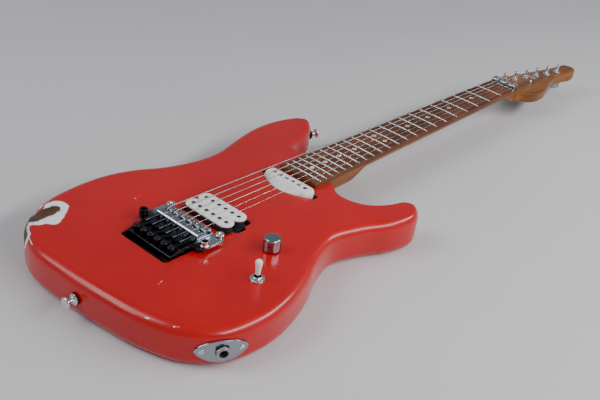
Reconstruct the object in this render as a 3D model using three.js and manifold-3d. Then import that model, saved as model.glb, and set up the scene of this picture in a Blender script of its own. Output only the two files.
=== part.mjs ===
// Solid-body electric guitar with a bolt-on neck and a double-locking tremolo.
// Millimetres. +X runs to the headstock, +Y to the bass side, +Z out of the top.
// x = 0 is the scale line at the saddles, y = 0 the centreline, z = 0 the body's flat back.
import * as THREE from 'three';
import { mergeVertices } from 'three/addons/utils/BufferGeometryUtils.js';
import Module from 'manifold-3d';

const wasm = await Module();
wasm.setup();

// ---------- driving dimensions ----------
const GAP = 0.3;                       // clearance between neighbouring pieces

const SCALE = 648;                     // nut to saddle
const FRET_COUNT = 22;
const STRING_COUNT = 6;

const TOP = 44.5;                      // body thickness, so the height of its top
const EDGE_RADIUS = 12;                // roundover of both body edges

const BOARD_TOP = TOP + 7.6;
const BOARD_THICK = 6;
const BOARD_RADIUS = 406;
const BOARD_END = 172;
const NUT_HALF = 21;                   // half the neck's width at the nut
const LAST_FRET_HALF = 28.25;          // half the neck's width at fret 22
const FRET_HIGH = 1.1;
const FRET_WIDE = 2.6;

const NECK_TOP = BOARD_TOP - BOARD_THICK - GAP;
const HEEL_END = 175;
const HEEL_TURN = 238;                 // the heel starts to narrow into the shaft here
const HEEL_BOTTOM = TOP - 16.5;
const HEAD_FACE = TOP - 1.5;
const HEAD_BACK = HEAD_FACE - 14;
const NUT_LENGTH = 16;

const STRING_RADII = [0.22, 0.26, 0.34, 0.42, 0.53, 0.64];   // treble to bass
const BRIDGE_PITCH = 10.5;
const NUT_PITCH = 7.2;
const STRING_BRIDGE_Z = TOP + 14.6;
const STRING_NUT_Z = BOARD_TOP + 1.6;

const PIVOT_X = 3.7;                   // knife edges of the tremolo
const PLATE_BOTTOM = TOP + 3;
const PLATE_TOP = TOP + 6;
const STUD_X = 7;
const STUD_Y = 38.5;
const WING_HALF_TREBLE = 47;
const WING_HALF_BASS = 44.5;
const WING_REAR_TREBLE = -27;
const WING_REAR_BASS = -33;
const PLATE_REAR = -57;
const PLATE_REAR_HALF = 33;
const ARM_SOCKET = [-19, -43];
const BASS_COLLAR = [-28, 42];
const FINE_TUNER_X = -49.5;
const TUNER_BAR_TOP = TOP + 3.2;       // the bar that carries the fine tuners lies in the recess

const SPRING_Z = 10.5;
const SPRING_OFFSETS = [-20, 0, 20];
const CLAW_X = 92;

const HUMBUCKER_X = 38.1;
const COIL_OFFSET = 9.4;               // each coil's distance from the pickup's middle
const COIL_HALF = 9.5;
const COIL_LENGTH = 68;
const NECK_PICKUP = [156.5, -1.5];
const NECK_POLE_PITCH = 9.7;
const POLE_PITCH = 10.2;

const KNOB = { x: 38, y: -84, radius: 9.5, top: TOP + 16.5 };
const TOGGLE = { x: -11, y: -111, tip: TOP + 23.4 };
const COVER_THICK = 1.8;
const SPRING_CAVITY = { x0: -48, x1: 103, half: 31, deep: 17 };
const CONTROL_LINE = [[-24, -117], [46, -80]];
const CONTROL_RADIUS = 18;
const CONTROL_ROOF = TOP - 6;

const NECK_PLATE = [[177, -25], [203, -25], [229, 25], [177, 25]];
const NECK_SCREWS = [[184, -18.5], [184, 18.5], [199, -18.5], [219, 18.5]];
const TAIL_BUTTON = { at: [-148.4, -3, TOP / 2], out: [-1, 0, 0] };
const HORN_BUTTON = { at: [311, 99, TOP / 2], out: [0.954, -0.3, 0] };

const JACK = { x: -92.6, y: -149.1, z: TOP - 22.8, halfLong: 26.5, halfHigh: 12.5 };
const JACK_OUT = new THREE.Vector3(-0.47, -0.883, 0).normalize();

const POST_ONE = { x: 688.6, y: 16.2 };
const POST_STEP = { x: 23.64, y: -6.38 };
const POST_TOP = TOP + 12;
const BUTTON_Z = HEAD_BACK - 6.3;
const TREE = { x: 723, y: -12.8 };

const BODY_OUTLINE = [
  [-149, 20], [-145, -30], [-137, -80], [-120, -122], [-88, -150], [-45, -159],
  [-5, -154.5], [35, -141], [75, -121], [115, -110.5], [155, -120], [194, -137],
  [227, -140], [246, -125], [242, -110], [218, -99], [200, -84], [192.5, -63],
  [195.5, -47], [206, -32], [223, -8], [237, 16], [241, 32], [235, 47], [236, 58],
  [253, 69], [281, 79], [302, 90], [311.5, 104], [304, 117.5], [284, 126.5],
  [258, 131.5], [225, 131],
  [185, 122], [145, 111.5], [110, 111.5], [70, 121], [35, 137], [0, 146],
  [-40, 146.5], [-86, 138], [-126.5, 113], [-147.5, 73],
];

const HEAD_OUTLINE = [
  [662, -21.4], [668, -25], [676, -36], [690, -42.5], [712, -43], [736, -37],
  [760, -30], [784, -26], [806, -29], [828, -33], [846, -30], [855, -19],
  [850, -7], [836, -5], [760, 12], [700, 27], [678, 30], [668, 24], [662, 21.4],
];

// ---------- materials ----------
const FINISHES = {
  lacquer: [0xb80a0a, 0.35, 0],
  maple: [0x9a5a22, 0.5, 0],
  rosewood: [0x5a2616, 0.55, 0],
  chrome: [0xc8ccd2, 0.18, 1],
  steel: [0x9a9da2, 0.35, 1],
  ivory: [0xece8da, 0.4, 0],
  black: [0x141416, 0.45, 0],
  string: [0xb8b4aa, 0.3, 1],
};

function finish(name) {
  const [color, roughness, metalness] = FINISHES[name];
  return new THREE.MeshStandardMaterial({ color, roughness, metalness });
}

const guitar = new THREE.Group();

function addPart(name, solid, finishName) {
  const mesh = new THREE.Mesh(toGeometry(solid), finish(finishName));
  mesh.name = name;
  guitar.add(mesh);
}

// ---------- solids ----------
function toSolid(geometry) {
  const bare = geometry.index ? geometry.toNonIndexed() : geometry.clone();
  bare.deleteAttribute('normal');
  bare.deleteAttribute('uv');
  const merged = mergeVertices(bare, 1e-4);
  const vertProperties = Float32Array.from(merged.attributes.position.array);
  const triVerts = Uint32Array.from(merged.index.array);
  return new wasm.Manifold(new wasm.Mesh({ numProp: 3, vertProperties, triVerts }));
}

function toGeometry(solid) {
  const { vertProperties, triVerts, numProp } = solid.getMesh();
  const geometry = new THREE.BufferGeometry();
  const count = vertProperties.length / numProp;
  const positions = new Float32Array(count * 3);
  for (let i = 0; i < count; i += 1) {
    for (let k = 0; k < 3; k += 1) positions[3 * i + k] = vertProperties[numProp * i + k];
  }
  geometry.setAttribute('position', new THREE.BufferAttribute(positions, 3));
  geometry.setIndex(new THREE.BufferAttribute(Uint32Array.from(triVerts), 1));
  return geometry;
}

function join(...solids) {
  return solids.flat().reduce((sum, solid) => sum.add(solid));
}

function cut(base, ...tools) {
  return tools.flat().reduce((left, tool) => left.subtract(tool), base);
}

function box(x0, x1, y0, y1, z0, z1) {
  const geometry = new THREE.BoxGeometry(x1 - x0, y1 - y0, z1 - z0);
  geometry.translate((x0 + x1) / 2, (y0 + y1) / 2, (z0 + z1) / 2);
  return toSolid(geometry);
}

// a round rod from one point to another, tapered when a second radius is given
function rod(from, to, radius, sides = 16, endRadius = radius) {
  const a = new THREE.Vector3(...from);
  const b = new THREE.Vector3(...to);
  const along = b.clone().sub(a);
  const geometry = new THREE.CylinderGeometry(endRadius, radius, along.length(), sides);
  geometry.translate(0, along.length() / 2, 0);
  const turn = new THREE.Quaternion().setFromUnitVectors(
    new THREE.Vector3(0, 1, 0),
    along.clone().normalize(),
  );
  geometry.applyQuaternion(turn);
  geometry.translate(a.x, a.y, a.z);
  return toSolid(geometry);
}

function upright(x, y, z0, z1, radius, sides = 16) {
  return rod([x, y, z0], [x, y, z1], radius, sides);
}

// a turned piece: profile points are [radius, height] from the axis and back to it
function turned(profile, origin, direction, sides = 16) {
  const points = profile.map(([radius, height]) => new THREE.Vector2(radius, height));
  const geometry = new THREE.LatheGeometry(points, sides);
  const turn = new THREE.Quaternion().setFromUnitVectors(
    new THREE.Vector3(0, 1, 0),
    new THREE.Vector3(...direction).normalize(),
  );
  geometry.applyQuaternion(turn);
  geometry.translate(...origin);
  return toSolid(geometry);
}

function slab(shape, z0, z1, curveSegments = 6) {
  const geometry = new THREE.ExtrudeGeometry(shape, {
    depth: z1 - z0,
    bevelEnabled: false,
    curveSegments,
  });
  geometry.translate(0, 0, z0);
  return toSolid(geometry);
}

function polygon(points) {
  return new THREE.Shape(points.map(([x, y]) => new THREE.Vector2(x, y)));
}

function roundedRect(x0, x1, y0, y1, radius) {
  const shape = new THREE.Shape();
  shape.absarc(x1 - radius, y0 + radius, radius, -Math.PI / 2, 0);
  shape.absarc(x1 - radius, y1 - radius, radius, 0, Math.PI / 2);
  shape.absarc(x0 + radius, y1 - radius, radius, Math.PI / 2, Math.PI);
  shape.absarc(x0 + radius, y0 + radius, radius, Math.PI, 1.5 * Math.PI);
  return shape;
}

// a slot with round ends about the line from a to b
function stadium([ax, ay], [bx, by], radius) {
  const angle = Math.atan2(by - ay, bx - ax);
  const shape = new THREE.Shape();
  shape.absarc(bx, by, radius, angle - Math.PI / 2, angle + Math.PI / 2);
  shape.absarc(ax, ay, radius, angle + Math.PI / 2, angle + 1.5 * Math.PI);
  return shape;
}

function smoothOutline(points, closed, divisions) {
  const curve = new THREE.CatmullRomCurve3(
    points.map(([x, y]) => new THREE.Vector3(x, y, 0)),
    closed,
  );
  const dense = curve.getPoints(divisions);
  if (closed) dense.pop();
  return dense.map((point) => [point.x, point.y]);
}

// a closed skin over rings of equal count, with a flat fan at each end
function loft(rings) {
  const count = rings[0].length;
  const centre = (ring) => ring
    .reduce((sum, point) => sum.add(point), new THREE.Vector3())
    .divideScalar(ring.length);
  const corners = [];
  for (let i = 0; i + 1 < rings.length; i += 1) {
    for (let k = 0; k < count; k += 1) {
      const next = (k + 1) % count;
      corners.push(rings[i][k], rings[i][next], rings[i + 1][k]);
      corners.push(rings[i + 1][k], rings[i][next], rings[i + 1][next]);
    }
  }
  const first = rings[0];
  const last = rings[rings.length - 1];
  const firstCentre = centre(first);
  const lastCentre = centre(last);
  for (let k = 0; k < count; k += 1) {
    const next = (k + 1) % count;
    corners.push(firstCentre, first[next], first[k]);
    corners.push(lastCentre, last[k], last[next]);
  }
  const geometry = new THREE.BufferGeometry().setFromPoints(corners);
  return toSolid(geometry);
}

const mix = (a, b, t) => a + (b - a) * t;
const clamp01 = (t) => Math.min(1, Math.max(0, t));
const smooth = (t) => clamp01(t) ** 2 * (3 - 2 * clamp01(t));
const fretX = (n) => SCALE * 2 ** (-n / 12);
const neckHalf = (x) => mix(NUT_HALF, LAST_FRET_HALF, (SCALE - x) / (SCALE - fretX(FRET_COUNT)));
const stringSide = (i, pitch) => (i - (STRING_COUNT - 1) / 2) * pitch;

function postAt(i) {
  // string 0 is the treble string, on the farthest post
  const step = STRING_COUNT - 1 - i;
  return [POST_ONE.x + step * POST_STEP.x, POST_ONE.y + step * POST_STEP.y];
}

// ---------- body ----------
function neckPocket() {
  const farX = 262;
  const side = (x) => neckHalf(x) + GAP;
  const start = HEEL_END - GAP;
  const outline = polygon([
    [start, -side(start)], [farX, -side(farX)], [farX, side(farX)], [start, side(start)],
  ]);
  return slab(outline, HEEL_BOTTOM - GAP, TOP + 1);
}

function tremoloRouts() {
  const { x0, x1, half, deep } = SPRING_CAVITY;
  return [
    slab(roundedRect(-65, 2, -35, 35, 4), TOP - 14, TOP + 1, 3),
    box(x0, 2, -half, half, deep - 1, TOP - 13),
    slab(roundedRect(x0, x1, -half, half, 5), -1, deep, 3),
    slab(roundedRect(-57, 112, -37, 37, 5), -1, COVER_THICK + GAP, 3),
    [-1, 1].map((side) => upright(STUD_X, side * STUD_Y, TOP - 26, TOP + 1, 4.5)),
    [-1, 1].map((side) => rod([x1 - 1, side * 12, SPRING_Z], [x1 + 30, side * 12, SPRING_Z], 2.1, 10)),
  ].flat();
}

function pickupRouts() {
  const half = 20.5;
  const [neckX, neckY] = NECK_PICKUP;
  return [
    slab(roundedRect(HUMBUCKER_X - half, HUMBUCKER_X + half, -35.6, 35.6, 4), TOP - 19, TOP + 1, 3),
    slab(roundedRect(HUMBUCKER_X - 8, HUMBUCKER_X + 8, -41, 41, 4), TOP - 19, TOP + 1, 3),
    slab(coverOutline(0.8), TOP - 18, TOP + 1, 4),
    slab(roundedRect(neckX - 5, neckX + 5, neckY - 42, neckY + 42, 3), TOP - 18, TOP + 1, 3),
    rod([HUMBUCKER_X + 15, -24, TOP - 15], [neckX - 6, -24, TOP - 14], 3.5, 10),
    rod([HUMBUCKER_X, -32, TOP - 15], [HUMBUCKER_X + 3, -70, TOP - 18], 3.5, 10),
  ];
}

function controlRouts() {
  const jackIn = JACK_OUT.clone().multiplyScalar(-40);
  const mouth = JACK_OUT.clone().multiplyScalar(6);
  const centre = [JACK.x, JACK.y, JACK.z];
  const inner = [JACK.x + jackIn.x, JACK.y + jackIn.y, JACK.z];
  return [
    slab(stadium(...CONTROL_LINE, CONTROL_RADIUS), -1, CONTROL_ROOF),
    slab(stadium(...CONTROL_LINE, CONTROL_RADIUS + 6), -1, COVER_THICK + GAP),
    upright(KNOB.x, KNOB.y, CONTROL_ROOF - 1, TOP + 1, 5),
    upright(TOGGLE.x, TOGGLE.y, CONTROL_ROOF - 1, TOP + 1, 5.2),
    rod([centre[0] + mouth.x, centre[1] + mouth.y, JACK.z], inner, 10.5, 20),
    rod(inner, [-26, -116, JACK.z], 4, 10),
  ];
}

function plateRecess() {
  const middle = 200;
  const outline = NECK_PLATE.map(([x, y]) => [x + Math.sign(x - middle) * GAP, y + Math.sign(y) * GAP]);
  return slab(polygon(outline), -1, COVER_THICK + GAP);
}

function bodySolid() {
  const outline = polygon(smoothOutline(BODY_OUTLINE, true, 2 * BODY_OUTLINE.length));
  const geometry = new THREE.ExtrudeGeometry(outline, {
    depth: TOP - 2 * EDGE_RADIUS,
    bevelEnabled: true,
    bevelThickness: EDGE_RADIUS,
    bevelSize: EDGE_RADIUS,
    bevelOffset: -EDGE_RADIUS,
    bevelSegments: 2,
  });
  geometry.translate(0, 0, EDGE_RADIUS);
  const screwHoles = NECK_SCREWS.map(([x, y]) => upright(x, y, 1, HEEL_BOTTOM + 1, 2.4, 10));
  return cut(
    toSolid(geometry),
    neckPocket(),
    tremoloRouts(),
    pickupRouts(),
    controlRouts(),
    plateRecess(),
    screwHoles,
    strapHole(TAIL_BUTTON),
    strapHole(HORN_BUTTON),
  );
}

// ---------- strap buttons ----------
function strapHole({ at, out }) {
  const into = at.map((value, k) => value - out[k] * 24);
  const outside = at.map((value, k) => value + out[k] * 3);
  return rod(outside, into, 2, 10);
}

function strapButton({ at, out }) {
  const start = at.map((value, k) => value + out[k] * 0.6);
  return turned(
    [[0, -20], [1.6, -20], [1.6, 0], [6.6, 0], [3.6, 3], [3.2, 6.8],
      [6.4, 9.6], [5.8, 11.8], [0, 11.8]],
    start,
    out,
    12,
  );
}

// ---------- neck ----------
// half-round section: flat on top, its lower side rounder or squarer with the power
function neckRing(x, half, topZ, bottomZ, power) {
  const steps = 10;
  const ring = [];
  for (let k = 0; k <= steps; k += 1) {
    const angle = Math.PI * k / steps;
    const side = Math.cos(angle);
    const across = Math.sign(side) * Math.abs(side) ** (2 / power);
    const down = Math.abs(Math.sin(angle)) ** (2 / power);
    ring.push(new THREE.Vector3(x, half * across, mix(topZ - 1.5, bottomZ, down)));
  }
  ring.push(new THREE.Vector3(x, -half, topZ));
  ring.push(new THREE.Vector3(x, half, topZ));
  return ring.reverse();
}

function neckStation(x) {
  const shaftBottom = NECK_TOP - mix(10.2, 12.2, (SCALE - x) / 400);
  const heel = 1 - smooth((x - HEEL_TURN) / 38);
  const head = smooth((x - 628) / 32);
  const foot = mix(mix(shaftBottom, HEEL_BOTTOM, heel), HEAD_BACK, head);
  const power = 2 + 9 * Math.max(heel, head);
  const ramp = smooth((x - SCALE - NUT_LENGTH - 1) / 16);
  const half = x > SCALE ? NUT_HALF : neckHalf(x);
  return neckRing(x, half, mix(NECK_TOP, HEAD_FACE, ramp), foot, power);
}

function neckSolid() {
  const stations = [HEEL_END, HEEL_TURN, 246, 254, 262, 276, 450, 628, 640, 650, 660, 666, 674, 682];
  const head = polygon(smoothOutline(HEAD_OUTLINE, false, 2 * HEAD_OUTLINE.length));
  const postHoles = [];
  for (let i = 0; i < STRING_COUNT; i += 1) {
    const [x, y] = postAt(i);
    postHoles.push(upright(x, y, HEAD_BACK - 1, HEAD_FACE + 1, 4.9, 10));
  }
  return cut(
    join(loft(stations.map(neckStation)), slab(head, HEAD_BACK, HEAD_FACE)),
    box(184, 640, -3.2, 3.2, NECK_TOP - 6.5, NECK_TOP + 1),
    box(HEEL_END - 1, 186, -4.6, 4.6, NECK_TOP - 10.5, NECK_TOP + 1),
    NECK_SCREWS.map(([x, y]) => upright(x, y, HEEL_BOTTOM - 1, HEEL_BOTTOM + 14, 2.3, 10)),
    upright(TREE.x, TREE.y, HEAD_FACE - 10, HEAD_FACE + 1, 1.6, 8),
    postHoles,
  );
}

function trussRod() {
  return join(
    box(185, 639, -2.9, 2.9, NECK_TOP - 6.2, NECK_TOP - 0.6),
    rod([177, 0, NECK_TOP - 5], [185.6, 0, NECK_TOP - 5], 4.2, 6),
  );
}

function neckPlateWithScrews() {
  const plate = slab(polygon(NECK_PLATE), 0, COVER_THICK);
  const screws = NECK_SCREWS.map(([x, y]) => upright(x, y, 0.4, HEEL_BOTTOM + 13, 2, 10));
  return join(plate, screws);
}

// ---------- fingerboard ----------
function boardRing(x, topZ, bottomZ, half) {
  const steps = 4;
  const ring = [];
  for (let k = 0; k <= steps; k += 1) {
    const y = mix(half, -half, k / steps);
    ring.push(new THREE.Vector3(x, y, topZ - (y * y) / (2 * BOARD_RADIUS)));
  }
  ring.push(new THREE.Vector3(x, -half, bottomZ));
  ring.push(new THREE.Vector3(x, half, bottomZ));
  return ring;
}

function fingerboardWithFrets() {
  const bottom = BOARD_TOP - BOARD_THICK;
  const ends = [BOARD_END, SCALE - GAP];
  const board = loft(ends.map((x) => boardRing(x, BOARD_TOP, bottom, neckHalf(x))));
  const frets = [];
  for (let n = 1; n <= FRET_COUNT; n += 1) {
    const x = fretX(n);
    const half = neckHalf(x) - 0.4;
    const rise = [[-1, -0.4], [0, FRET_HIGH], [1, -0.4]];
    frets.push(loft(rise.map(([u, z]) => (
      boardRing(x + u * FRET_WIDE / 2, BOARD_TOP + z, BOARD_TOP - 2.4, half)))));
  }
  return join(board, frets);
}

// ---------- headstock hardware ----------
function lockingNut() {
  const x0 = SCALE + GAP;
  const x1 = SCALE + NUT_LENGTH;
  const parts = [box(x0, x1, -NUT_HALF, NUT_HALF, NECK_TOP + GAP, STRING_NUT_Z - 1.1)];
  for (const y of [-14.4, 0, 14.4]) {
    parts.push(box(x0 + 2, x1 - 1.2, y - 6, y + 6, STRING_NUT_Z + 1, STRING_NUT_Z + 3.6));
    parts.push(upright((x0 + x1) / 2, y, STRING_NUT_Z - 2, STRING_NUT_Z + 2, 1.8, 10));
    parts.push(upright((x0 + x1) / 2, y, STRING_NUT_Z + 3, STRING_NUT_Z + 5.2, 3.3, 10));
  }
  return join(parts);
}

function stringTree() {
  const z = HEAD_FACE;
  return join(
    upright(TREE.x, TREE.y, z - 9, z + 9.4, 1.3, 8),
    upright(TREE.x, TREE.y, z + GAP, z + 3, 2.4, 12),
    box(TREE.x - 2.4, TREE.x + 2.4, TREE.y - 5.6, TREE.y + 5.6, z + 9, z + 10.2),
    upright(TREE.x, TREE.y, z + 10, z + 11.4, 2.6, 12),
  );
}

const TUNER_ANGLE = Math.atan2(POST_STEP.y, POST_STEP.x);

// turns a solid made about the origin to stand at a tuner post
function atTuner(i, solid) {
  const [x, y] = postAt(i);
  return solid.rotate([0, 0, THREE.MathUtils.radToDeg(TUNER_ANGLE)]).translate([x, y, 0]);
}

function tunerHousing(i) {
  const housingTop = HEAD_BACK - GAP;
  const shape = roundedRect(-8.5, 8.5, -8, 12, 3);
  return atTuner(i, cut(
    join(
      slab(shape, housingTop - 11.5, housingTop, 2),
      upright(0, 0, housingTop - 1, HEAD_FACE + 1.6, 4.5, 10),
      upright(0, 0, HEAD_FACE + GAP, HEAD_FACE + 1.8, 6.4, 8),
    ),
    upright(0, 0, BUTTON_Z - 1, HEAD_FACE + 3, 3.4, 10),
    rod([0, 6, BUTTON_Z], [0, 13, BUTTON_Z], 1.9, 8),
  ));
}

function tunerPost(i) {
  return atTuner(i, turned(
    [[0, BUTTON_Z - 0.6], [3, BUTTON_Z - 0.6], [3, HEAD_FACE + 2.6], [2.5, HEAD_FACE + 5],
      [3, POST_TOP - 0.6], [2.4, POST_TOP], [0, POST_TOP]],
    [0, 0, 0],
    [0, 0, 1],
    10,
  ));
}

function tunerButton(i) {
  const wide = 8.6;
  const thick = 3.6;
  const sections = [[16, 0.5], [18, 0.78], [29, 1], [35, 0.72]];
  const steps = 10;
  const rings = sections.map(([y, size]) => {
    const ring = [];
    for (let k = 0; k < steps; k += 1) {
      const angle = 2 * Math.PI * k / steps;
      const across = wide * size * Math.cos(angle);
      const up = thick * Math.sqrt(size) * Math.sin(angle);
      ring.push(new THREE.Vector3(across, y, BUTTON_Z + up));
    }
    return ring.reverse();
  });
  return atTuner(i, join(loft(rings), rod([0, 7, BUTTON_Z], [0, 17, BUTTON_Z], 1.5, 8)));
}

// ---------- strings ----------
function stringPath(i) {
  const [postX, postY] = postAt(i);
  const bridgeY = stringSide(i, BRIDGE_PITCH);
  const nutY = stringSide(i, NUT_PITCH);
  const nutEnd = new THREE.Vector3(SCALE + NUT_LENGTH, nutY, STRING_NUT_Z);
  const post = new THREE.Vector3(postX, postY + 2.6, HEAD_FACE + 5.2);
  const reach = post.clone().sub(nutEnd);
  const stop = nutEnd.clone().add(reach.multiplyScalar(1 - 4 / reach.length()));
  const bridge = new THREE.Vector3(-3, bridgeY, STRING_BRIDGE_Z);
  return [bridge, new THREE.Vector3(SCALE, nutY, STRING_NUT_Z), nutEnd, stop];
}

function stringSolid(i) {
  const sides = 6;
  const rings = stringPath(i).map((centre) => {
    const ring = [];
    for (let k = 0; k < sides; k += 1) {
      const angle = 2 * Math.PI * k / sides;
      const offset = new THREE.Vector3(0, Math.cos(angle), Math.sin(angle));
      ring.push(centre.clone().addScaledVector(offset, STRING_RADII[i]));
    }
    return ring;
  });
  return loft(rings);
}

// ---------- tremolo ----------
// half of the plate's edge, from its front middle round to its rear
function plateEdge(shape, side, half, wingRear) {
  const wing = 4;
  const edge = PIVOT_X - 0.5;
  const y = (value) => side * value;
  shape.lineTo(edge + 2.6, y(31));
  shape.lineTo(edge, y(33));
  shape.lineTo(edge, y(half - wing));
  shape.quadraticCurveTo(edge, y(half), edge - wing, y(half));
  shape.lineTo(wingRear + wing, y(half));
  shape.quadraticCurveTo(wingRear, y(half), wingRear, y(half - wing));
  shape.lineTo(wingRear - 1, y(PLATE_REAR_HALF + 4));
  shape.quadraticCurveTo(wingRear - 2, y(PLATE_REAR_HALF), wingRear - 6, y(PLATE_REAR_HALF));
  shape.lineTo(-42, y(PLATE_REAR_HALF));
}

function tremoloPlate() {
  const bassHalf = new THREE.Shape();
  bassHalf.moveTo(-42, -1);
  bassHalf.lineTo(PIVOT_X + 2.1, -1);
  plateEdge(bassHalf, 1, WING_HALF_BASS, WING_REAR_BASS);
  const trebleHalf = new THREE.Shape();
  trebleHalf.moveTo(-42, 1);
  trebleHalf.lineTo(PIVOT_X + 2.1, 1);
  plateEdge(trebleHalf, -1, WING_HALF_TREBLE, WING_REAR_TREBLE);
  const tunerBar = box(PLATE_REAR, -41, -31.5, 31.5, TUNER_BAR_TOP - 4.4, TUNER_BAR_TOP);
  const cheeks = [-1, 1].map((side) => box(
    PLATE_REAR, -36,
    side > 0 ? 31 : -PLATE_REAR_HALF, side > 0 ? PLATE_REAR_HALF : -31,
    TUNER_BAR_TOP - 4.4, PLATE_TOP,
  ));
  const holes = [];
  for (let i = 0; i < STRING_COUNT; i += 1) {
    holes.push(upright(FINE_TUNER_X, stringSide(i, BRIDGE_PITCH), TOP - 6, TUNER_BAR_TOP + 1, 2, 8));
  }
  const notches = [-1, 1].map((side) => (
    upright(STUD_X, side * STUD_Y, PLATE_BOTTOM - 1, PLATE_TOP + 1, 3.8, 12)));
  return cut(
    join(
      slab(bassHalf, PLATE_BOTTOM, PLATE_TOP, 3),
      slab(trebleHalf, PLATE_BOTTOM, PLATE_TOP, 3),
      box(-44, -40.5, -31.5, 31.5, TUNER_BAR_TOP - 1, PLATE_TOP),
      tunerBar,
      cheeks,
      upright(...BASS_COLLAR, PLATE_TOP - 1, TOP + 13, 4.6, 12),
    ),
    holes,
    notches,
    upright(...ARM_SOCKET, PLATE_BOTTOM - 1, PLATE_TOP + 1, 3.2, 12),
  );
}

function sustainBlock() {
  return cut(
    box(-21, -5, -29, 29, TOP - 36, PLATE_BOTTOM - GAP),
    box(-8, -4, -26, 26, TOP - 37, TOP - 33),
  );
}

function saddlesJoined() {
  const pieces = [];
  const floor = PLATE_TOP + GAP;
  for (let i = 0; i < STRING_COUNT; i += 1) {
    const y = stringSide(i, BRIDGE_PITCH);
    const top = STRING_BRIDGE_Z - STRING_RADII[i] - GAP - 0.2;
    const profile = polygon([
      [4.4, floor], [4.4, floor + 2], [1, top - 0.6], [-2, top], [-8, top - 2.4],
      [-12, top - 1.6], [-19, top - 1.6], [-19, floor],
    ]);
    const side = slab(profile, -BRIDGE_PITCH / 2 - 0.05, BRIDGE_PITCH / 2 + 0.05, 2).rotate([90, 0, 0]);
    pieces.push(side.translate([0, y, 0]));
    pieces.push(rod([-18, y, TOP + 10.6], [-34, y, TOP + 10.6], 1.5, 6));
    pieces.push(rod([-34, y, TOP + 10.6], [-40, y, TOP + 10.6], 2.7, 8));
  }
  return join(pieces);
}

function fineTuner(i) {
  return turned(
    [[0, TOP - 3], [1.5, TOP - 3], [1.5, TUNER_BAR_TOP + 1], [4.2, TUNER_BAR_TOP + 1],
      [4.2, TOP + 9.6], [0, TOP + 9.6]],
    [FINE_TUNER_X, stringSide(i, BRIDGE_PITCH), 0],
    [0, 0, 1],
    10,
  );
}

function pivotStud(side) {
  return turned(
    [[0, TOP - 25], [4.1, TOP - 25], [4.1, TOP + 1], [4.8, TOP + 1], [4.8, PLATE_BOTTOM - 0.8],
      [3, PLATE_BOTTOM - 0.4], [3, PLATE_TOP + 0.9], [4.9, PLATE_TOP + 1.2], [4.9, PLATE_TOP + 2.2],
      [4, PLATE_TOP + 2.8], [0, PLATE_TOP + 2.8]],
    [STUD_X, side * STUD_Y, 0],
    [0, 0, 1],
    16,
  );
}

function armSocket() {
  const bottom = PLATE_TOP + GAP;
  return turned(
    [[3.1, bottom], [5.2, bottom], [5.2, bottom + 2], [4.6, bottom + 2.4], [4.6, TOP + 12.4],
      [4.2, TOP + 13], [3.1, TOP + 13], [3.1, bottom]],
    [...ARM_SOCKET, 0],
    [0, 0, 1],
    16,
  );
}

function tremoloSpring(y) {
  return join(
    rod([4, y, SPRING_Z], [CLAW_X - 8, y, SPRING_Z], 4.2, 10),
    rod([CLAW_X - 9, y, SPRING_Z], [CLAW_X - 1.4, y, SPRING_Z], 0.8, 6),
    rod([-3.6, y, SPRING_Z], [5, y, SPRING_Z], 0.8, 6),
  );
}

function springClaw() {
  const screws = [-12, 12].map((y) => join(
    rod([CLAW_X - 4, y, SPRING_Z], [CLAW_X + 1, y, SPRING_Z], 3.6, 12),
    rod([CLAW_X, y, SPRING_Z], [CLAW_X + 38, y, SPRING_Z], 1.7, 8),
  ));
  return join(box(CLAW_X - GAP - 0.5, CLAW_X + 1.2, -26, 26, SPRING_Z - 4, SPRING_Z + 5), screws);
}

// ---------- pickups ----------
// straight towards the neck and bowed towards the bridge, grown or shrunk all round
function coverOutline(grow) {
  const [x, y] = NECK_PICKUP;
  const front = x + 9 + grow;
  const back = x - 9.5 - grow;
  const bow = back - 20;
  const half = 34.5 + grow;
  const shape = new THREE.Shape();
  shape.moveTo(front, y + 6 - half);
  shape.lineTo(front, y + half - 6);
  shape.quadraticCurveTo(front, y + half, front - 6, y + half);
  shape.lineTo(back + 5, y + half);
  shape.quadraticCurveTo(back, y + half, back - 1, y + half - 7);
  shape.quadraticCurveTo(bow, y, back - 1, y + 7 - half);
  shape.quadraticCurveTo(back, y - half, back + 5, y - half);
  shape.lineTo(front - 6, y - half);
  shape.quadraticCurveTo(front, y - half, front, y + 6 - half);
  return shape;
}

function poleRow([x, y], z0, z1, radius, pitch) {
  const poles = [];
  for (let i = 0; i < STRING_COUNT; i += 1) {
    poles.push(upright(x, y + stringSide(i, pitch), z0, z1, radius, 8));
  }
  return poles;
}

// two bobbins side by side, touching at their flanges
function humbuckerCoils() {
  const reach = COIL_LENGTH / 2 - COIL_HALF;
  return join([-1, 1].map((side) => {
    const x = HUMBUCKER_X + side * COIL_OFFSET;
    const flange = stadium([x, -reach], [x, reach], COIL_HALF);
    const winding = stadium([x, -reach + 1], [x, reach - 1], COIL_HALF - 1.2);
    return join(
      slab(flange, TOP + 5.6, TOP + 7.8),
      slab(winding, TOP - 5.2, TOP + 5.8, 4),
      poleRow([x, 0], TOP + 7, TOP + 8.3, 2.4, POLE_PITCH),
    );
  }));
}

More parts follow.
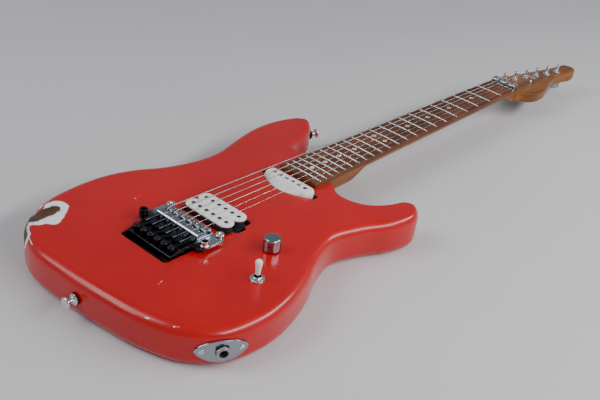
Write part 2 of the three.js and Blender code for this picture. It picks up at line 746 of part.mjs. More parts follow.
function humbuckerBase() {
  const half = 18.6;
  const plateTop = TOP - 5.2 - GAP;
  const legs = [-1, 1].map((side) => join(
    box(HUMBUCKER_X - 6, HUMBUCKER_X + 6, side > 0 ? 33 : -40, side > 0 ? 40 : -33, TOP - 12, TOP - 10.6),
    box(HUMBUCKER_X - 6, HUMBUCKER_X + 6, side > 0 ? 33 : -34.6, side > 0 ? 34.6 : -33, TOP - 12, plateTop),
    upright(HUMBUCKER_X, side * 37.4, TOP - 18.6, TOP - 8.8, 1.4, 8),
    upright(HUMBUCKER_X, side * 37.4, TOP - 10.8, TOP - 8, 2.6, 10),
  ));
  return join(
    slab(roundedRect(HUMBUCKER_X - half, HUMBUCKER_X + half, -34.6, 34.6, 3), plateTop - 3.4, plateTop, 3),
    legs,
  );
}

// a cover over a flat coil, joined by the six magnets
function neckPickup() {
  const [x, y] = NECK_PICKUP;
  const flange = roundedRect(x - 4.2, x + 4.2, y - 41, y + 41, 2);
  return join(
    cut(slab(coverOutline(0), TOP - 5, TOP + 5.4), slab(coverOutline(-1.6), TOP - 6, TOP + 3.8, 4)),
    slab(coverOutline(-2.4), TOP - 9, TOP + 4, 3),
    slab(flange, TOP - 9, TOP - 6.4, 3),
    poleRow(NECK_PICKUP, TOP + 4, TOP + 5.8, 2.4, NECK_POLE_PITCH),
  );
}

// ---------- controls ----------
function volumePot() {
  return turned(
    [[3.3, CONTROL_ROOF - 9], [12, CONTROL_ROOF - 9], [12, CONTROL_ROOF - GAP], [4.7, CONTROL_ROOF - GAP],
      [4.7, TOP + GAP], [7, TOP + GAP], [7, TOP + 2.2], [3.3, TOP + 2.2], [3.3, CONTROL_ROOF - 9]],
    [KNOB.x, KNOB.y, 0],
    [0, 0, 1],
  );
}

function volumeKnob() {
  const { x, y, radius, top } = KNOB;
  return turned(
    [[0, CONTROL_ROOF - 8], [3, CONTROL_ROOF - 8], [3, TOP + 4.4], [7.8, TOP + 4.4], [7.8, TOP + 1.2],
      [radius, TOP + 1.2], [radius, top - 2.2], [radius - 1.6, top - 0.5], [radius - 3.4, top], [0, top]],
    [x, y, 0],
    [0, 0, 1],
    20,
  );
}

function toggleSwitch() {
  const { x, y } = TOGGLE;
  return cut(
    join(
      box(x - 7, x + 7, y - 9, y + 9, CONTROL_ROOF - 15, CONTROL_ROOF - GAP),
      upright(x, y, CONTROL_ROOF - 1, TOP + 4.4, 4.8, 16),
      upright(x, y, TOP + GAP, TOP + 1.2, 8, 20),
      upright(x, y, TOP + 1, TOP + 3.2, 6.4, 6),
    ),
    upright(x, y, TOP - 6, TOP + 6, 3.7, 16),
  );
}

function toggleLever() {
  const pivot = TOP - 2;
  return turned(
    [[0, pivot - 2.4], [1.8, pivot - 1.8], [2.3, pivot], [1.5, pivot + 2], [1.5, TOP + 6.4], [2.7, TOP + 6.8],
      [3.9, TOGGLE.tip - 5], [3.8, TOGGLE.tip - 2.4], [2.4, TOGGLE.tip - 0.4], [0, TOGGLE.tip]],
    [TOGGLE.x, TOGGLE.y, 0],
    [0, 0, 1],
    10,
  );
}

// a point measured out of the jack plate's middle, along the wall and up it
function jackPoint(out, along = 0, up = 0) {
  const wall = new THREE.Vector3(-JACK_OUT.y, JACK_OUT.x, 0);
  return new THREE.Vector3(JACK.x, JACK.y, JACK.z + up)
    .addScaledVector(JACK_OUT, out)
    .addScaledVector(wall, along)
    .toArray();
}

// the wall's own curve between two offsets, cut to a football shape
function jackPlate() {
  const wall = smoothOutline(BODY_OUTLINE, true, 4 * BODY_OUTLINE.length);
  const near = wall.filter(([x, y]) => Math.hypot(x - JACK.x, y - JACK.y) < JACK.halfLong + 14);
  const shifted = (offset) => near.map(([x, y], k) => {
    const [ax, ay] = near[Math.max(0, k - 1)];
    const [bx, by] = near[Math.min(near.length - 1, k + 1)];
    const length = Math.hypot(bx - ax, by - ay);
    return [x + offset * (by - ay) / length, y - offset * (bx - ax) / length];
  });
  const band = polygon([...shifted(0.4), ...shifted(2).reverse()]);
  const oval = new THREE.CylinderGeometry(1, 1, 60, 20);
  oval.scale(JACK.halfLong, 1, JACK.halfHigh);
  oval.applyMatrix4(new THREE.Matrix4().makeBasis(
    new THREE.Vector3(-JACK_OUT.y, JACK_OUT.x, 0),
    JACK_OUT,
    new THREE.Vector3(0, 0, -1),
  ));
  oval.translate(JACK.x, JACK.y, JACK.z);
  const alongWall = ([x, y]) => (y - JACK.y) * JACK_OUT.x - (x - JACK.x) * JACK_OUT.y;
  const screws = [-19.5, 19.5].map((place) => {
    const [low, high] = [0.8, 2.8].map((offset) => shifted(offset)
      .reduce((best, point) => (
        Math.abs(alongWall(point) - place) < Math.abs(alongWall(best) - place) ? point : best)));
    return rod([...low, JACK.z], [...high, JACK.z], 2.8, 8);
  });
  const curved = slab(band, JACK.z - 20, JACK.z + 20).intersect(toSolid(oval));
  return cut(join(curved, screws), rod(jackPoint(-8), jackPoint(8), 6.4, 16));
}

function outputJack() {
  return cut(
    join(
      rod(jackPoint(-26), jackPoint(4.5), 6, 12),
      rod(jackPoint(2.1), jackPoint(3.9), 8.2, 6),
      rod(jackPoint(-9), jackPoint(-6), 9.4, 12),
    ),
    rod(jackPoint(-24), jackPoint(8), 3.6, 12),
  );
}

// ---------- back covers ----------
function springCover() {
  return cut(
    slab(roundedRect(-57 + GAP, 112 - GAP, -37 + GAP, 37 - GAP, 5), 0, COVER_THICK, 3),
    slab(roundedRect(-36, -16, -24, 24, 3), -1, COVER_THICK + 1, 3),
  );
}

function controlCover() {
  return slab(stadium(...CONTROL_LINE, CONTROL_RADIUS + 6 - GAP), 0, COVER_THICK);
}

// ---------- assembly ----------
addPart('body', bodySolid(), 'lacquer');
addPart('neck', neckSolid(), 'maple');
addPart('fingerboard', fingerboardWithFrets(), 'rosewood');
addPart('truss_rod', trussRod(), 'steel');
addPart('neck_plate', neckPlateWithScrews(), 'chrome');
addPart('locking_nut', lockingNut(), 'chrome');
addPart('string_tree', stringTree(), 'chrome');
for (let i = 0; i < STRING_COUNT; i += 1) {
  const label = i + 1;
  addPart(`tuner_housing_${label}`, tunerHousing(i), 'chrome');
  addPart(`tuner_post_${label}`, tunerPost(i), 'chrome');
  addPart(`tuner_button_${label}`, tunerButton(i), 'chrome');
  addPart(`string_${label}`, stringSolid(i), 'string');
  addPart(`fine_tuner_${label}`, fineTuner(i), 'black');
}
addPart('tremolo_plate', tremoloPlate(), 'chrome');
addPart('sustain_block', sustainBlock(), 'steel');
addPart('saddles', saddlesJoined(), 'chrome');
addPart('arm_socket', armSocket(), 'chrome');
addPart('pivot_stud_treble', pivotStud(-1), 'steel');
addPart('pivot_stud_bass', pivotStud(1), 'steel');
addPart('spring_claw', springClaw(), 'steel');
SPRING_OFFSETS.forEach((y, k) => addPart(`tremolo_spring_${k + 1}`, tremoloSpring(y), 'steel'));
addPart('humbucker_base', humbuckerBase(), 'steel');
addPart('humbucker_coils', humbuckerCoils(), 'ivory');
addPart('neck_pickup', neckPickup(), 'ivory');
addPart('volume_pot', volumePot(), 'steel');
addPart('volume_knob', volumeKnob(), 'chrome');
addPart('toggle_switch', toggleSwitch(), 'chrome');
addPart('toggle_lever', toggleLever(), 'ivory');
addPart('jack_plate', jackPlate(), 'chrome');
addPart('output_jack', outputJack(), 'steel');
addPart('strap_button_tail', strapButton(TAIL_BUTTON), 'chrome');
addPart('strap_button_horn', strapButton(HORN_BUTTON), 'chrome');
addPart('spring_cover', springCover(), 'black');
addPart('control_cover', controlCover(), 'black');

export default guitar;
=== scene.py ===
"""Solid-body electric guitar with a locking tremolo: the looks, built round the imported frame.

Shapes are made in millimetres, with +X to the headstock, +Y to the bass side and +Z out of the top,
and are scaled to metres as they are shown.
"""

import math

import bmesh
import bpy
import numpy as np
from mathutils import Matrix, Vector


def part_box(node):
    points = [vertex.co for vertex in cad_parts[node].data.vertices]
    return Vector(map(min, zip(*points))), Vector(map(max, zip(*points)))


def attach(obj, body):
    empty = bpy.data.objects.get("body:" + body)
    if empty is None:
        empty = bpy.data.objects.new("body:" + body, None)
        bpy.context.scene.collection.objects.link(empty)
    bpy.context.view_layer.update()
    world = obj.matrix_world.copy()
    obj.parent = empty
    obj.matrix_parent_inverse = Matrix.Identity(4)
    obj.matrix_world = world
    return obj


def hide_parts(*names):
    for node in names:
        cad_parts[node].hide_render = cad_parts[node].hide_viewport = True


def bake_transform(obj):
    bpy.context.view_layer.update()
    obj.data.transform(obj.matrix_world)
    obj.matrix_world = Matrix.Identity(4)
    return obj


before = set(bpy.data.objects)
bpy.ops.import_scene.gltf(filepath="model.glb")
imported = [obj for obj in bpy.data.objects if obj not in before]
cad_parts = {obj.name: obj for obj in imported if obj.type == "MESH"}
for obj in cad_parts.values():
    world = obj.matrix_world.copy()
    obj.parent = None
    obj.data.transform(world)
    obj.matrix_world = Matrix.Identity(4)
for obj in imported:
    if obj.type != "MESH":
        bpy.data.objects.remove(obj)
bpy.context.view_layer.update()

MM = 0.001


# ---------- places taken from the frame ----------
def low(node):
    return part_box(node)[0] / MM


def high(node):
    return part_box(node)[1] / MM


def middle(node):
    return (low(node) + high(node)) / 2


STRINGS = range(1, 7)                      # 1 is the treble string
SCALE = 648.0
FRETS = 22
TOP = high("body").z                       # the body's flat top
EDGE = 12.0                                # roundover of the body's edges
BOARD_END = low("fingerboard").x
FRET_HIGH = 1.1
FRET_HALF = 1.05
BOARD_TOP = high("fingerboard").z - FRET_HIGH
BOARD_THICK = 6.0
BOARD_RADIUS = 406.0
NUT_HALF = high("locking_nut").y
LAST_FRET_HALF = 28.25
NECK_TOP = high("neck").z
HEEL_END = low("neck").x
HEEL_TURN = 238.0
HEEL_BOTTOM = TOP - 16.5
HEAD_FACE = TOP - 1.5
HEAD_BACK = HEAD_FACE - 14
NUT_LENGTH = 16.0
STRING_RADII = (0.22, 0.26, 0.34, 0.42, 0.53, 0.64)
BRIDGE_PITCH = 10.5
NUT_PITCH = 7.2
STRING_BRIDGE_Z = TOP + 14.6
STRING_NUT_Z = BOARD_TOP + 1.6
PLATE_BOTTOM = TOP + 3
PLATE_TOP = TOP + 6
BAR_TOP = TOP + 3.2                        # the bar that carries the fine tuners
PLATE_REAR = -57.0
PLATE_REAR_HALF = 33.0
COLLAR = (-28.0, 42.0)
SPRING_Z = 10.5
CLAW_X = 92.0
HUMBUCKER_X = middle("humbucker_coils").x
COIL_OFFSET = 9.4
COIL_HALF = 9.5
COIL_REACH = 24.5                          # from the bobbin's middle to the centre of its round end
POLE_PITCH = 10.2
NECK_POLE_PITCH = 9.7
NECK_PICKUP = Vector((156.5, -1.5))
COVER_THICK = 1.8
SPRING_CAVITY = {"x0": -48.0, "x1": 103.0, "half": 31.0, "deep": 17.0}
CONTROL_LINE = ((-24.0, -117.0), (46.0, -80.0))
CONTROL_RADIUS = 18.0
CONTROL_ROOF = TOP - 6
NECK_PLATE = ((177, -25), (203, -25), (229, 25), (177, 25))
NECK_SCREWS = ((184, -18.5), (184, 18.5), (199, -18.5), (219, 18.5))
JACK = Vector((-92.6, -149.1, TOP - 22.8))
JACK_OUT = Vector((-0.47, -0.883, 0)).normalized()
JACK_HALF = (26.5, 12.5)                   # half the jack plate's length and height
TAIL_BUTTON = (Vector((-148.4, -3, TOP / 2)), Vector((-1, 0, 0)))
HORN_BUTTON = (Vector((311, 99, TOP / 2)), Vector((0.954, -0.3, 0)).normalized())
POST_LINE = Vector((23.64, -6.38, 0)).normalized()
BUTTON_Z = HEAD_BACK - 6.3
GAP = 0.3                                  # room round a piece that is let into the wood
HEEL_RUN = 38                              # how far the heel takes to thin down to the shaft
HEAD_TURN = 628                            # where the shaft starts to turn into the headstock
POCKET_END = 262.0
CLAW_SCREW_SIDE = 12
SPRING_SIDES = (-20, 0, 20)
COIL_RADIUS = 3.6
SIDES = ((-1, "treble"), (1, "bass"))
SPRING_WIRE = 0.58

BODY_OUTLINE = (
    (-149, 20), (-145, -30), (-137, -80), (-120, -122), (-88, -150), (-45, -159),
    (-5, -154.5), (35, -141), (75, -121), (115, -110.5), (155, -120), (194, -137),
    (227, -140), (246, -125), (242, -110), (218, -99), (200, -84), (192.5, -63),
    (195.5, -47), (206, -32), (223, -8), (237, 16), (241, 32), (235, 47), (236, 58),
    (253, 69), (281, 79), (302, 90), (311.5, 104), (304, 117.5), (284, 126.5),
    (258, 131.5), (225, 131), (185, 122), (145, 111.5), (110, 111.5), (70, 121),
    (35, 137), (0, 146), (-40, 146.5), (-86, 138), (-126.5, 113), (-147.5, 73),
)
HEAD_OUTLINE = (
    (662, -21.4), (668, -25), (676, -36), (690, -42.5), (712, -43), (736, -37),
    (760, -30), (784, -26), (806, -29), (828, -33), (846, -30), (855, -19),
    (850, -7), (836, -5), (760, 12), (700, 27), (678, 30), (668, 24), (662, 21.4),
)


# ---------- small mathematics ----------
def mix(a, b, t):
    return a + (b - a) * t


def smooth(t):
    t = min(1.0, max(0.0, t))
    return t * t * (3 - 2 * t)


def fret_x(n):
    return SCALE * 2 ** (-n / 12)


def neck_half(x):
    return mix(NUT_HALF, LAST_FRET_HALF, (SCALE - x) / (SCALE - fret_x(FRETS)))


def string_side(label, pitch):
    return (label - 3.5) * pitch


def board_z(y):
    return BOARD_TOP - y * y / (2 * BOARD_RADIUS)


def spline(points, steps, closed=True):
    """A centripetal Catmull-Rom curve through the points."""
    points = [Vector(p).to_2d() for p in points]
    count = len(points)
    made = []
    for i in range(count if closed else count - 1):
        if closed:
            quad = [points[(i + k) % count] for k in (-1, 0, 1, 2)]
        else:
            quad = [points[min(max(i + k, 0), count - 1)] for k in (-1, 0, 1, 2)]
            if i == 0:
                quad[0] = 2 * quad[1] - quad[2]
            if i == count - 2:
                quad[3] = 2 * quad[2] - quad[1]
        knots = [0.0]
        for a, b in zip(quad, quad[1:]):
            knots.append(knots[-1] + max((b - a).length, 1e-6) ** 0.5)
        for step in range(steps):
            t = mix(knots[1], knots[2], step / steps)
            made.append(tuple(catmull(quad, knots, t)))
    if not closed:
        made.append(tuple(points[-1]))
    return made


def catmull(quad, knots, t):
    layer = list(quad)
    for width in (1, 2, 3):
        for i in range(4 - width):
            first, last = i, i + width
            if width == 3:
                first, last = 1, 2
            share = (t - knots[first]) / (knots[last] - knots[first])
            layer[i] = layer[i] * (1 - share) + layer[i + 1] * share
    return layer[0]


def bent(a, b, c, steps=6):
    """A curve from a to c that leans towards b."""
    a, b, c = Vector(a), Vector(b), Vector(c)
    shares = [k / steps for k in range(steps + 1)]
    return [tuple(a * (1 - t) ** 2 + b * (2 * t * (1 - t)) + c * t * t) for t in shares]


def rounded(points, radius, steps=4, closed=True):
    """The same corners, each turned into a short curve."""
    count = len(points)
    made = []
    for i, point in enumerate(points):
        if not closed and i in (0, count - 1):
            made.append(tuple(point))
            continue
        corner = Vector(point)
        before = Vector(points[i - 1]) - corner
        after = Vector(points[(i + 1) % count]) - corner
        reach = min(radius, before.length * 0.49, after.length * 0.49)
        a = corner + before.normalized() * reach
        b = corner + after.normalized() * reach
        made += bent(a, corner, b, steps)
    return made


def arc(x, y, radius, start, end, steps=10):
    return [
        (x + radius * math.cos(mix(start, end, k / steps)), y + radius * math.sin(mix(start, end, k / steps)))
        for k in range(steps + 1)
    ]


def stadium(a, b, radius, steps=14):
    angle = math.atan2(b[1] - a[1], b[0] - a[0])
    quarter = math.pi / 2
    return (arc(*b, radius, angle - quarter, angle + quarter, steps)
            + arc(*a, radius, angle + quarter, angle + 3 * quarter, steps))


def round_rect(x0, x1, y0, y1, radius, steps=6):
    quarter = math.pi / 2
    corners = ((x1 - radius, y0 + radius), (x1 - radius, y1 - radius),
               (x0 + radius, y1 - radius), (x0 + radius, y0 + radius))
    made = []
    for k, (x, y) in enumerate(corners):
        made += arc(x, y, radius, (k - 1) * quarter, k * quarter, steps)
    return made


# ---------- shapes: (points, faces, tags), a tag being the face's material number ----------
def shape(points, faces, tag=0):
    return [tuple(p) for p in points], [tuple(f) for f in faces], [tag] * len(faces)


def prism(outline, z0, z1):
    count = len(outline)
    points = [(x, y, z) for z in (z0, z1) for x, y in outline]
    faces = [tuple(range(count))[::-1], tuple(range(count, 2 * count))]
    for k in range(count):
        m = (k + 1) % count
        faces.append((k, m, count + m, count + k))
    return shape(points, faces)


def block(x0, x1, y0, y1, z0, z1):
    return prism(((x0, y0), (x1, y0), (x1, y1), (x0, y1)), z0, z1)


def loft(rings):
    count = len(rings[0])
    points = [p for ring in rings for p in ring]
    faces = []
    for i in range(len(rings) - 1):
        for k in range(count):
            m = (k + 1) % count
            faces.append((i * count + k, i * count + m, (i + 1) * count + m, (i + 1) * count + k))
    last = (len(rings) - 1) * count
    faces.append(tuple(range(count))[::-1])
    faces.append(tuple(range(last, last + count)))
    return shape(points, faces)


def lathe(profile, sides=48, ridge=0.0, ridged=(0.0, 0.0)):
    """Turned about Z from [radius, height] points. ridge knurls what lies between the ridged heights."""
    points, rings = [], []
    for radius, height in profile:
        first = len(points)
        if radius < 1e-6:
            points.append((0, 0, height))
            rings.append([first] * sides)
            continue
        for k in range(sides):
            angle = 2 * math.pi * k / sides
            grip = ridge if k % 2 and ridged[0] <= height <= ridged[1] else 0.0
            points.append(((radius - grip) * math.cos(angle), (radius - grip) * math.sin(angle), height))
        rings.append(list(range(first, first + sides)))
    faces = []
    for a, b in zip(rings, rings[1:]):
        for k in range(sides):
            m = (k + 1) % sides
            corners = list(dict.fromkeys((a[k], a[m], b[m], b[k])))
            if len(corners) > 2:
                faces.append(corners)
    return shape(points, faces)


def tube(path, radius, sides=12):
    path = [Vector(p) for p in path]
    rings = []
    normal = None
    for i, point in enumerate(path):
        along = (path[min(i + 1, len(path) - 1)] - path[max(i - 1, 0)]).normalized()
        if normal is None:
            normal = along.orthogonal().normalized()
        normal = (normal - along * normal.dot(along)).normalized()
        other = along.cross(normal)
        turn = [2 * math.pi * k / sides for k in range(sides)]
        rings.append([point + normal * (radius * math.cos(a)) + other * (radius * math.sin(a)) for a in turn])
    return loft(rings)


def moved(made, matrix):
    return [tuple(matrix @ Vector(p)) for p in made[0]], made[1], made[2]


def stood(made, origin, up):
    """Moves a shape made about Z to an origin, with its Z along up."""
    turn = Vector((0, 0, 1)).rotation_difference(Vector(up)).to_matrix().to_4x4()
    return moved(made, Matrix.Translation(Vector(origin)) @ turn)


def at(made, x, y, z=0.0):
    return moved(made, Matrix.Translation((x, y, z)))


def tagged(made, tag):
    return made[0], made[1], [tag] * len(made[1])


def together(*parts):
    points, faces, tags = [], [], []
    for part in parts:
        shift = len(points)
        points += part[0]
        faces += [tuple(k + shift for k in face) for face in part[1]]
        tags += part[2]
    return points, faces, tags


def to_bmesh(made):
    bm = bmesh.new()
    points = [bm.verts.new(p) for p in made[0]]
    for face, tag in zip(made[1], made[2]):
        try:
            bm.faces.new([points[k] for k in face]).material_index = tag
        except ValueError:
            continue
    bmesh.ops.remove_doubles(bm, verts=bm.verts, dist=1e-4)
    bmesh.ops.recalc_face_normals(bm, faces=bm.faces)
    return bm


def from_bmesh(bm):
    bm.verts.index_update()
    made = ([tuple(v.co) for v in bm.verts], [tuple(v.index for v in f.verts) for f in bm.faces],
            [f.material_index for f in bm.faces])
    bm.free()
    return made


def soft(made, width, segments=2, angle=40):
    """Rounds every edge sharper than the angle."""
    bm = to_bmesh(made)
    edges = [e for e in bm.edges if e.calc_face_angle(0) > math.radians(angle)]
    bmesh.ops.bevel(bm, geom=edges, offset=width, segments=segments, profile=0.5, affect="EDGES",
                    clamp_overlap=True)
    return from_bmesh(bm)


TAG_SLOTS = 3                              # a boolean keeps a face's tag only where the mesh has its slot


def scratch(made):
    mesh = bpy.data.meshes.new("scratch")
    bm = to_bmesh(made)
    bm.to_mesh(mesh)
    bm.free()
    for _ in range(TAG_SLOTS):
        mesh.materials.append(None)
    o = bpy.data.objects.new("scratch", mesh)
    bpy.context.scene.collection.objects.link(o)
    return o


def combine(base, tools, operation="DIFFERENCE"):
    target = scratch(base)
    helpers = [scratch(tool) for tool in tools]
    for helper in helpers:
        boolean = target.modifiers.new("combine", "BOOLEAN")
        boolean.operation = operation
        boolean.solver = "EXACT"
        boolean.object = helper
    ready = target.evaluated_get(bpy.context.evaluated_depsgraph_get())
    mesh = ready.to_mesh()
    made = ([tuple(v.co) for v in mesh.vertices], [tuple(p.vertices) for p in mesh.polygons],
            [p.material_index for p in mesh.polygons])
    ready.to_mesh_clear()
    for o in (target, *helpers):
        data = o.data
        bpy.data.objects.remove(o)
        bpy.data.meshes.remove(data)
    return made


def cut(base, *tools):
    return combine(base, tools)


def show(name, made, materials, body, stands_for=(), crease=35, ride=True):
    """Makes the piece, gives it its materials and puts it on its body."""
    bm = to_bmesh(made)
    bmesh.ops.scale(bm, vec=(MM, MM, MM), verts=bm.verts)
    mesh = bpy.data.meshes.new(name)
    bm.to_mesh(mesh)
    bm.free()
    for material in materials if isinstance(materials, (list, tuple)) else [materials]:
        mesh.materials.append(material)
    for polygon in mesh.polygons:
        polygon.use_smooth = True
    mesh.set_sharp_from_angle(angle=math.radians(crease))
    o = bpy.data.objects.new(name, mesh)
    bpy.context.scene.collection.objects.link(o)
    if ride:
        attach(o, body)
    if stands_for:
        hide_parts(*([stands_for] if isinstance(stands_for, str) else stands_for))
    return o


# ---------- materials ----------
class Nodes:
    """Builds one material's node tree."""

    def __init__(self, name):
        self.material = bpy.data.materials.new(name)
        self.material.use_nodes = True
        self.tree = self.material.node_tree
        self.tree.nodes.clear()
        self.place = self.add("ShaderNodeTexCoord").outputs["Object"]

    def add(self, kind, inputs=None, **settings):
        node = self.tree.nodes.new(kind)
        for key, value in settings.items():
            setattr(node, key, value)
        for key, value in (inputs or {}).items():
            if isinstance(value, bpy.types.NodeSocket):
                self.tree.links.new(value, node.inputs[key])
            else:
                node.inputs[key].default_value = value
        return node

    def stretched(self, scale):
        return self.add("ShaderNodeMapping", {"Vector": self.place, "Scale": scale}).outputs[0]

    def noise(self, scale, detail=4.0, rough=0.55, stretch=(1, 1, 1), warp=0.0):
        node = self.add("ShaderNodeTexNoise", {
            "Vector": self.stretched(stretch), "Scale": scale, "Detail": detail, "Roughness": rough,
            "Distortion": warp,
        })
        return node.outputs["Fac"]

    def ramp(self, value, stops, kind="LINEAR"):
        node = self.add("ShaderNodeValToRGB", {"Fac": value})
        node.color_ramp.interpolation = kind
        elements = node.color_ramp.elements
        while len(elements) < len(stops):
            elements.new(0.5)
        for element, (position, color) in zip(elements, stops):
            element.position = position
            element.color = (*color, 1) if len(color) == 3 else color
        return node.outputs["Color"]

    def math(self, operation, a, b=0.5, clamp=False):
        return self.add("ShaderNodeMath", {0: a, 1: b}, operation=operation, use_clamp=clamp).outputs[0]

    def plus(self, a, b):
        return self.math("ADD", a, b)

    def times(self, a, b):
        return self.math("MULTIPLY", a, b)

    def span(self, value, low_in, high_in, low_out=0.0, high_out=1.0):
        return self.add("ShaderNodeMapRange", {
            "Value": value, "From Min": low_in, "From Max": high_in, "To Min": low_out, "To Max": high_out,
        }, interpolation_type="SMOOTHSTEP").outputs[0]

    def blend(self, factor, a, b):
        node = self.add("ShaderNodeMix", data_type="RGBA")
        for socket, value in ((node.inputs[0], factor), (node.inputs[6], a), (node.inputs[7], b)):
            if isinstance(value, bpy.types.NodeSocket):
                self.tree.links.new(value, socket)
            else:
                socket.default_value = value if isinstance(value, float) else (*value, 1)
        return node.outputs[2]

    def bump(self, height, strength, distance, edge=0.0):
        inputs = {"Height": height, "Strength": strength, "Distance": distance}
        if edge:
            inputs["Normal"] = self.add("ShaderNodeBevel", {"Radius": edge}, samples=4).outputs[0]
        return self.add("ShaderNodeBump", inputs).outputs[0]

    def vector(self, operation, a, b=(0, 0, 0)):
        node = self.add("ShaderNodeVectorMath", {0: a, 1: b}, operation=operation)
        return node.outputs["Value" if operation in ("DOT_PRODUCT", "LENGTH") else "Vector"]

    def strokes(self, runs, wobble):
        """How far inside the nearest of some round-ended strokes, in metres; less than 0 outside them."""
        deepest = None
        for start, end, radius in runs:
            start, along = Vector(start) * MM, (Vector(end) - Vector(start)) * MM
            away = self.vector("SUBTRACT", self.place, start)
            share = self.math("DIVIDE", self.vector("DOT_PRODUCT", away, along), along.length_squared, True)
            nearest = self.add("ShaderNodeVectorMath", {0: along, "Scale": share}, operation="SCALE")
            distance = self.vector("LENGTH", self.vector("SUBTRACT", away, nearest.outputs[0]))
            inside = self.math("SUBTRACT", radius * MM, distance)
            deepest = self.math("MAXIMUM", deepest, inside) if deepest else inside
        return self.plus(deepest, wobble)

    def surface(self, **values):
        shader = self.add("ShaderNodeBsdfPrincipled", {
            key.replace("_", " ").title().replace("Ior", "IOR"): value for key, value in values.items()
        })
        output = self.add("ShaderNodeOutputMaterial")
        self.tree.links.new(shader.outputs[0], output.inputs["Surface"])
        return self.material


# Each stroke runs from one place to another, with a radius. In these the lacquer is worn to the primer.
WORN = (
    ((-85, 115, TOP), (-103, 100, TOP), 12.3),
    ((-106, 101, TOP - 1), (-119, 104, TOP - 5), 8.5),
    ((-137, 92, TOP - 10), (-122, 111, TOP - 10), 8.6),
    ((-122, 111, TOP - 10), (-99, 128, TOP - 9), 8.6),
    ((-138, 88, TOP - 3), (-143, 74, TOP - 3.5), 0.7),
    ((-97, 126, TOP - 4), (-66, 134, TOP - 5), 0.7),
    ((176, 116, TOP - 6), (222, 126, TOP - 8), 0.9),
)
# In these it is worn to the wood.
BARE = (
    ((-90, 112.5, TOP), (-116, 110, TOP - 2), 8.2),
    ((-135, 96, TOP - 10), (-121, 112, TOP - 10), 7.8),
    ((-121, 112, TOP - 10), (-101, 126, TOP - 9), 7.8),
)
CHIPS = (
    ((-133, -83, TOP - 3), (-130, -88, TOP - 3), 0.9),
    ((-120, -112, TOP - 3), (-116, -117, TOP - 3), 1.0),
    ((-106, -128, TOP - 4), (-102, -132, TOP - 4), 0.9),
    ((158, -118, TOP - 5), (161, -119, TOP - 5), 0.8),
    ((203, -136, TOP - 8), (208, -138, TOP - 8), 1.0),
    ((-32, -157, TOP - 16), (-27, -157, TOP - 15), 1.1),
    ((-9, 79, TOP), (0, 81, TOP), 0.35),
    ((-92, -57, TOP), (-78, -53, TOP), 0.3),
    ((-40, 132, TOP - 2), (-18, 136, TOP - 3), 0.5),
)


def lacquer():
    """Red lacquer over a pale primer over wood, worn through in places."""
    n = Nodes("red_lacquer")
    drift = n.noise(9.0, 3.0)
    red = n.ramp(drift, ((0.3, (0.45, 0.0, 0.0012)), (0.7, (0.55, 0.0006, 0.0022))))
    fine = n.noise(900.0, 2.0)
    ragged = n.plus(n.times(n.math("SUBTRACT", n.noise(70.0, 5.0, 0.6), 0.5), 0.009),
                    n.times(n.math("SUBTRACT", n.noise(420.0, 4.0, 0.65), 0.5), 0.0022))
    faint = n.times(ragged, 0.3)
    worn = n.strokes(WORN[:4], ragged)
    lines = n.strokes(WORN[4:] + CHIPS, faint)
    bare = n.strokes(BARE, ragged)
    is_primer = n.math("MAXIMUM", n.span(worn, 0.0, 0.0009), n.span(lines, 0.0, 0.0004))
    is_wood = n.span(bare, 0.0, 0.0022)
    primer = n.ramp(n.noise(160.0, 4.0), ((0.3, (0.72, 0.78, 0.82)), (0.7, (0.92, 0.94, 0.95))))
    grain = n.noise(60.0, 6.0, 0.65, (0.12, 1.6, 1.6), 0.4)
    bare_wood = n.ramp(grain, ((0.25, (0.035, 0.016, 0.008)), (0.6, (0.1, 0.052, 0.024)),
                               (0.85, (0.19, 0.11, 0.055))))
    hairs = n.noise(240.0, 3.0, 0.7, (0.05, 1.0, 1.0), 1.2)
    scratches = n.ramp(hairs, ((0.66, (0, 0, 0)), (0.74, (1, 1, 1))))
    color = n.blend(is_wood, n.blend(is_primer, red, primer), bare_wood)
    coat = n.times(n.math("SUBTRACT", 1.0, is_primer), 0.5)
    rough = n.span(n.plus(n.noise(38.0, 5.0), n.times(scratches, 0.12)), 0.3, 0.8, 0.27, 0.38)
    rough = n.math("MAXIMUM", rough, n.times(is_primer, 0.6))
    depth = n.times(n.plus(is_primer, is_wood), -0.5)
    grit = n.plus(n.times(fine, 0.03), n.times(scratches, -0.01))
    return n.surface(base_color=color, roughness=rough, coat_weight=coat, coat_roughness=0.16,
                     coat_ior=1.45, specular_ior_level=0.35, normal=n.bump(n.plus(depth, grit), 0.5, 0.0004,
                                                                           0.0005))


def wood(name, dark, mid, light, rough, grain_scale, streak):
    n = Nodes(name)
    bands = n.noise(grain_scale, 6.0, 0.62, (0.05, 1.0, 1.0), 0.6)
    figure = n.noise(grain_scale * 0.35, 3.0, 0.5, (0.5, 1.0, 0.6), 1.5)
    body = n.plus(n.times(bands, 0.75), n.times(figure, 0.3))
    color = n.ramp(body, ((0.36, dark), (0.52, mid), (0.68, light)))
    pores = n.ramp(n.noise(grain_scale * 4.2, 3.0, 0.7, (0.03, 1.0, 1.0)),
                   ((0.56, (1, 1, 1)), (0.66, (0, 0, 0))))
    color = n.blend(n.times(n.math("SUBTRACT", 1.0, pores), streak), color, dark)
    roughness = n.span(bands, 0.3, 0.7, rough, rough + 0.14)
    relief = n.plus(n.times(pores, 0.6), n.times(bands, 0.4))
    return n.surface(base_color=color, roughness=roughness, coat_weight=0.12, coat_roughness=0.28,
                     specular_ior_level=0.3, normal=n.bump(relief, 0.35, 0.00015, 0.0004))


